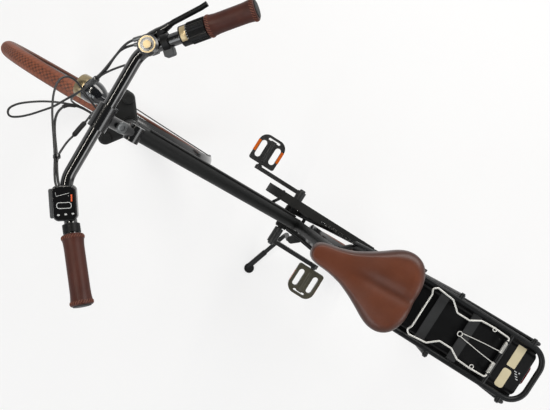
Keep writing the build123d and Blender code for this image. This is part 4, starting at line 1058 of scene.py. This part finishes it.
# a patch of the housing's cylinder: turn from the top by the spread each way, rounded in at its rim
def addShifterWindow():
    over = np.cross(rightWay, rightAhead)
    a = np.radians(np.linspace(-shifter["spread"], shifter["spread"], 25))
    t = np.linspace(shifter["start"], shifter["end"], 7)
    aside, along = np.abs(np.linspace(-1, 1, 25)), np.abs(np.linspace(-1, 1, 7))
    rise = np.minimum(1 - aside ** 12, (1 - along ** 8)[:, None])
    line = onBar(-1, 0) + t[:, None, None] * rightWay
    out = np.cos(a)[:, None] * over + np.sin(a)[:, None] * rightAhead
    top = line + (shifter["r"] + shifter["bulge"] * rise)[..., None] * out
    low = line + (shifter["r"] - shifter["sunk"]) * out
    grid = np.concatenate([top, low[:, ::-1]], axis=1)
    ends = np.broadcast_to(grid.mean(1, keepdims=True)[[0, -1]], (2, *grid.shape[1:]))
    grid = np.concatenate([ends[:1], grid, ends[1:]])
    putGrids("shifterWindow", [grid], "creamMetal", "steering")
    dots = []
    for k in range(shifter["dots"]):
        turn = math.radians((k / (shifter["dots"] - 1) - 0.5) * shifter["dotSpread"] * shifter["spread"])
        out = math.cos(turn) * over + math.sin(turn) * rightAhead
        spot = onBar(-1, shifter["end"] + shifter["dotPast"]) + out * shifter["r"]
        dots.append(turnedGrid(shifter["dot"], spot, out, 12))
    putGrids("shifterDots", dots, "markGrey", "steering")


addShifterWindow()

# Head lamp: bright bezel round the lens
lamp = {
    "place": (114.4, -28.0, 505.5),  # ahead, left, along the steering axis
    "dip": 6.0,
    "bezel": [(13.0, 27.6), (13.4, 28.3), (15.0, 28.6), (33.0, 28.6), (34.6, 27.8), (34.9, 26.4),
              (34.0, 25.3), (30.0, 25.2)],
}


def addLamp():
    dip = math.radians(lamp["dip"])
    way = np.array([math.cos(dip), 0, -math.sin(dip)])
    bezel = turnedGrid(lamp["bezel"], inFork(*lamp["place"]), way, 64)
    putGrids("lampBezel", [bezel], "bezelMetal", "steering", closed=True)


addLamp()
print("bell, shifter and lamp made")

# Right control: housing over the lever's body and a small switch behind its clamp, and caps on the fork
control = {
    # along the bar, out from it, below it, radius
    "housing": [(15, 25, 8, 4.5), (19, 25, 8, 7.5), (30, 25, 8, 9.4), (48, 26, 8, 10.2), (62, 29, 8, 8.6),
                (76, 33, 8, 6.4)],
    "switchAt": (60.0, -19.0, 2.0),
    "switch": (11.0, 9.0, 4.0),
    "switchLow": -7.0,
    "switchHigh": 8.0,
    "capAt": (36.0, 57.0, 478.0),
    "cap": [(-1, 0), (-1, 14.6), (4.6, 14.6), (6.2, 13.4), (6.6, 8.0), (5.4, 7.2), (5.4, 0)],
    "ribs": 18,
    "ribDeep": 0.35,
}


# a place beside the right half of the bar, level and square to it
def byBar(t, out, drop):
    return onBar(-1, t) + out * rightAhead - np.array([0, 0, drop])


# ribs round a cap: the radius steps in and out along its straight side
def capRibs(t, a):
    return control["ribDeep"] * np.sign(np.sin(control["ribs"] * a)) * ((t > 0) & (t < 5))


def addControl():
    rows = np.array(control["housing"], float)
    path = smoothRoute(np.array([byBar(*row[:3]) for row in rows]), 6)
    r = np.interp(np.linspace(0, 1, len(path)), np.linspace(0, 1, len(rows)), rows[:, 3])
    putGrids("leverHousing", [tubeGrid(path, r, 24)], "glossPlastic", "steering")
    plane = (byBar(*control["switchAt"]), rightWay, rightAhead)
    block = slabGrid(roundRect(*control["switch"]), plane, control["switchLow"], control["switchHigh"], 2.0)
    putGrids("thumbSwitch", [block], "greyPlastic", "steering")
    ahead, left, along = control["capAt"]
    spots = [inFork(ahead, side * left, along) for side in (1, -1)]
    caps = [turnedGrid(control["cap"], spot, forkUp, 72, capRibs) for spot in spots]
    putGrids("forkCaps", caps, "matteBlack", "steering")


addControl()
print("right control made")

# Pedals: amber reflector blocks in the front and rear rails
crankX, crankZ = 452, 288
pedals = {
    # body, middle, turn
    "pieces": {
        "rightReflectors": ("pedal_right", (crankX + 169.81, -154.5, crankZ + 8.01), -2.7),
        "leftReflectors": ("pedal_left", (crankX - 169.81, 154.5, crankZ - 8.01), 177.3),
    },
    "reach": 43.8,
    "block": (5.2, 21.0, 1.0),
    "low": -6.5,
    "high": 9.5,
}


def addReflectors():
    for name, (body, centre, turn) in pedals["pieces"].items():
        a = math.radians(turn)
        ahead = np.array([math.cos(a), 0, -math.sin(a)])
        side = np.cross(np.array([math.sin(a), 0, math.cos(a)]), ahead)
        blocks = []
        for way in (1, -1):
            plane = (np.array(centre) + way * pedals["reach"] * ahead, ahead, side)
            blocks.append(slabGrid(roundRect(*pedals["block"]), plane, pedals["low"], pedals["high"], 0.6))
        putGrids(name, blocks, "amberReflector", body)


addReflectors()
print("reflectors set")

# Wheels: a nipple on each spoke and one valve, by the same turns as the spokes
wheels = {
    "front_wheel": {"flange": (68.0, 22.0), "sweep": 24.0, "x": bike["wheelbase"]},
    "rear_wheel": {"flange": (38.0, 29.0), "sweep": 40.0, "x": 0.0},
}
spoke = {
    "rimInner": 293.0,
    "perSide": 18,
    "rimHalf": 2.5,
    "stagger": 1.7,
    "nipple": [(-0.5, 0), (-0.5, 2.1), (5.0, 2.1), (10.0, 1.6), (10.5, 0)],
    "valveAt": 213.0,
    "valve": [(-1, 0), (-1, 3.6), (3, 3.6), (3, 2.6), (16, 2.6), (16, 3.2), (30, 3.0), (31, 0)],
}


# a spoke runs from the flange at its turn to the rim at that turn plus or minus the sweep
def addNipples():
    rim, stagger = spoke["rimInner"], spoke["stagger"]
    for body, wheel in wheels.items():
        centre = np.array([wheel["x"], 0.0, bike["wheelRadius"]])
        r, y = wheel["flange"]
        nipples = []
        for side in (1, -1):
            for k in range(spoke["perSide"]):
                lean = 1 if k % 2 else -1
                turn = math.radians(20 * k + (0 if side > 0 else 10))
                tip = turn + lean * math.radians(wheel["sweep"])
                aside = stagger * lean
                near = np.array([r * math.cos(turn), side * y + aside, r * math.sin(turn)])
                far = np.array([rim * math.cos(tip), side * spoke["rimHalf"] + aside, rim * math.sin(tip)])
                nipples.append(turnedGrid(spoke["nipple"], centre + far, unit(near - far), 8))
        turn = math.radians(spoke["valveAt"])
        inward = -np.array([math.cos(turn), 0, math.sin(turn)])
        nipples.append(turnedGrid(spoke["valve"], centre - inward * rim, inward, 8))
        putGrids(body.replace("_wheel", "Nipples"), nipples, "brightSteel", body)


addNipples()
print("nipples and valves made")


# bolts in a circle on one side: middle x and z, y, circle, radius, how many, first and step in degrees
def boltCircle(x, z, y, circle, r, count, first, step):
    turns = [math.radians(step * k + first) for k in range(count)]
    way = (0, 1 if y > 0 else -1, 0)
    return [((x + circle * math.cos(a), y, z + circle * math.sin(a)), way, r) for a in turns]


# Bolts: button heads with a socket, by piece: body, then place, outward way, radius
stemLift = np.array([-0.830, 0.0, 0.557])
motorAt = bike["wheelbase"], bike["wheelRadius"]
motorSides = [boltCircle(*motorAt, y, 42, 3.2, 8, 10, 45) for y in (29.3, -29.3)]
rackEnds = [(2, 88, 822, 5.0), (-205, 88, 822, 5.0), (-2, 88, 379, 5.2), (-12, 67.4, 365, 3.4)]
bolts = {
    "frameBolts": ("frame", [((x, s * y, z), (0, s, 0), r) for x, y, z, r in rackEnds for s in (1, -1)]
                   + [((196, -68, 350), (0, -1, 0), 4.0), ((505, -70, 382.5), (0, -1, 0), 4.0)]),
    "crankBolts": ("crankset", [((crankX, side * 100, crankZ), (0, side, 0), 10.5) for side in (1, -1)]
                   + boltCircle(crankX, crankZ, -52, 66, 4.6, 5, 0, -72)),
    "steeringBolts": ("steering", [((907, side * 14, 1066), (1, 0, 0), 3.8) for side in (1, -1)]
                      + [(inFork(73, side * 41, 258), forkAhead, 5.0) for side in (1, -1)]),
    "motorBolts": ("front_wheel", motorSides[0] + motorSides[1]),
}
boltSunk = 0.8
boltHead = np.array([(0.35, 1), (0.62, 0.82), (0.7, 0.5), (0.3, 0.42), (0.3, 0)])  # shares of the radius
stemTop, stemReach = np.array([866.0, 0, 1033.0]), 17
stemDisc = [(-1.0, 0), (-1.0, 12.6), (2.2, 12.6), (3.2, 11.4), (3.4, 6.2), (1.0, 5.6), (1.0, 0)]
headsetAlong = 663.0
headsetProfile = [(-1.6, 18.2), (-1.6, 20.4), (1.2, 20.4), (1.6, 18.2)]


def addBolts():
    for name, (body, rows) in bolts.items():
        heads = []
        for place, way, r in rows:
            profile = np.r_[[(-boltSunk, 0), (-boltSunk, r)], boltHead * r]
            heads.append(turnedGrid(profile, place, way, 24))
        putGrids(name, heads, "darkSteel", body)
    disc = turnedGrid(stemDisc, stemTop + stemLift * stemReach, stemLift, 40)
    putGrids("stemBolt", [disc], "greyAlloy", "steering")
    ring = turnedGrid(headsetProfile, inFork(0, 0, headsetAlong), forkUp, 56)
    putGrids("headsetRing", [ring], "brightSteel", "steering", closed=True)


addBolts()
print("bolts set")

# Cable fittings: short sleeves over a stretch of a cable, from and to the route's nearest points
fittings = {
    # cable, from, to, radius, finish
    "brakeFerrule": ("brakeCable", (900, -178, 1063), (916, -164, 1059), 4.4, "greyAlloy"),
    "shiftFerrule": ("shiftCable", (896, -172, 1046), (914, -157, 1044), 4.0, "greyAlloy"),
    "brakeNoodle": ("brakeCable", (1030, -37, 812), (1018, -41, 715), 3.3, "brightSteel"),
    "linkConnector": ("linkCable", (933, 66, 1031), (938, 32, 1000), 5.2, "capRubber"),
    "motorSleeve": ("motorCable", (1003, 30, 985), (1002, 17, 925), 4.2, "capRubber"),
    "rightTie": ("leadCable", (960, -60, 1007), (965, -53, 1001), 7.0, "glossPlastic"),
    "leftTie": ("motorCable", (925, 118.5, 1067), (930, 113, 1064), 7.4, "glossPlastic"),
}
sleeveEnd = {"drawnIn": 0.35, "from": 0.8}


# radius along the sleeve: full in the middle and drawn in at both ends
def addFittings():
    for name, (cableName, start, end, r, finishName) in fittings.items():
        cable = cableRoutes[cableName]
        path = smoothRoute(np.array(cable["points"], float), 24)
        first, last = [int(np.argmin(np.linalg.norm(path - np.array(p), axis=1))) for p in (start, end)]
        part = path[first:last + 1]
        s = np.linspace(-1, 1, len(part))
        ends = smoothStep(np.abs(s), sleeveEnd["from"], 1.0)
        sleeve = tubeGrid(part, r * (1 - sleeveEnd["drawnIn"] * ends), 16)
        points, quads = joinGrids([onFork(sleeve)])
        obj = paint(putMesh(name, points, quads), finishName)
        carryCable(obj, cable)


addFittings()
print("cable fittings made:", len(fittings))

# Rack clip: coils with their hooks, and a small ring on each side of the wire
clip = {
    "x": -143.0,
    "z": 836.0,
    "mid": -3.0,
    "coil": 3.9,
    "wire": 0.85,
    "turns": 10,
    "first": 14.0,
    "last": 42.0,
    # out from the middle, x, z
    "hook": [(16, -139.1, 836.0), (12, -100, 830.5), (7, -64, 825.9), (4.6, -46, 825.8)],
    "hookWire": 1.05,
    # x, y, z, radius: the ring that joins the hooks, then those on the clip
    "loop": (-41.0, -3.0, 826.0, 6.0),
    "rings": [(-101.0, -57.0, 837.8, 4.6), (-102.0, 48.0, 837.8, 4.6)],
    "ringWire": 1.1,
}


# a level ring: a circle about its middle
def wireRing(x, y, z, r, thick):
    a = np.linspace(0, 2 * math.pi, 25)
    return tubeGrid(np.c_[x + r * np.cos(a), y + r * np.sin(a), 0 * a + z], thick, 8)


# coil: a circle of the coil radius while y goes from the first to the last place
def addClipWire():
    wires = []
    a = np.linspace(0, 2 * math.pi * clip["turns"], 24 * clip["turns"] + 1)
    for side in (1, -1):
        y = clip["mid"] + side * np.linspace(clip["first"], clip["last"], len(a))
        path = np.c_[clip["x"] + clip["coil"] * np.cos(a), y, clip["z"] + clip["coil"] * np.sin(a)]
        wires.append(tubeGrid(path, clip["wire"], 8))
        hook = np.array([(x, clip["mid"] + side * out, z) for out, x, z in clip["hook"]])
        wires.append(tubeGrid(hook, clip["hookWire"], 8))
    wires.append(wireRing(*clip["loop"], clip["hookWire"]))
    putGrids("clipCoils", wires, "whiteWire", "frame", ["clip_spring"])
    rings = [wireRing(*ring, clip["ringWire"]) for ring in clip["rings"]]
    putGrids("clipRings", rings, "whiteWire", "rack_clip")


addClipWire()
print("rack clip wired")
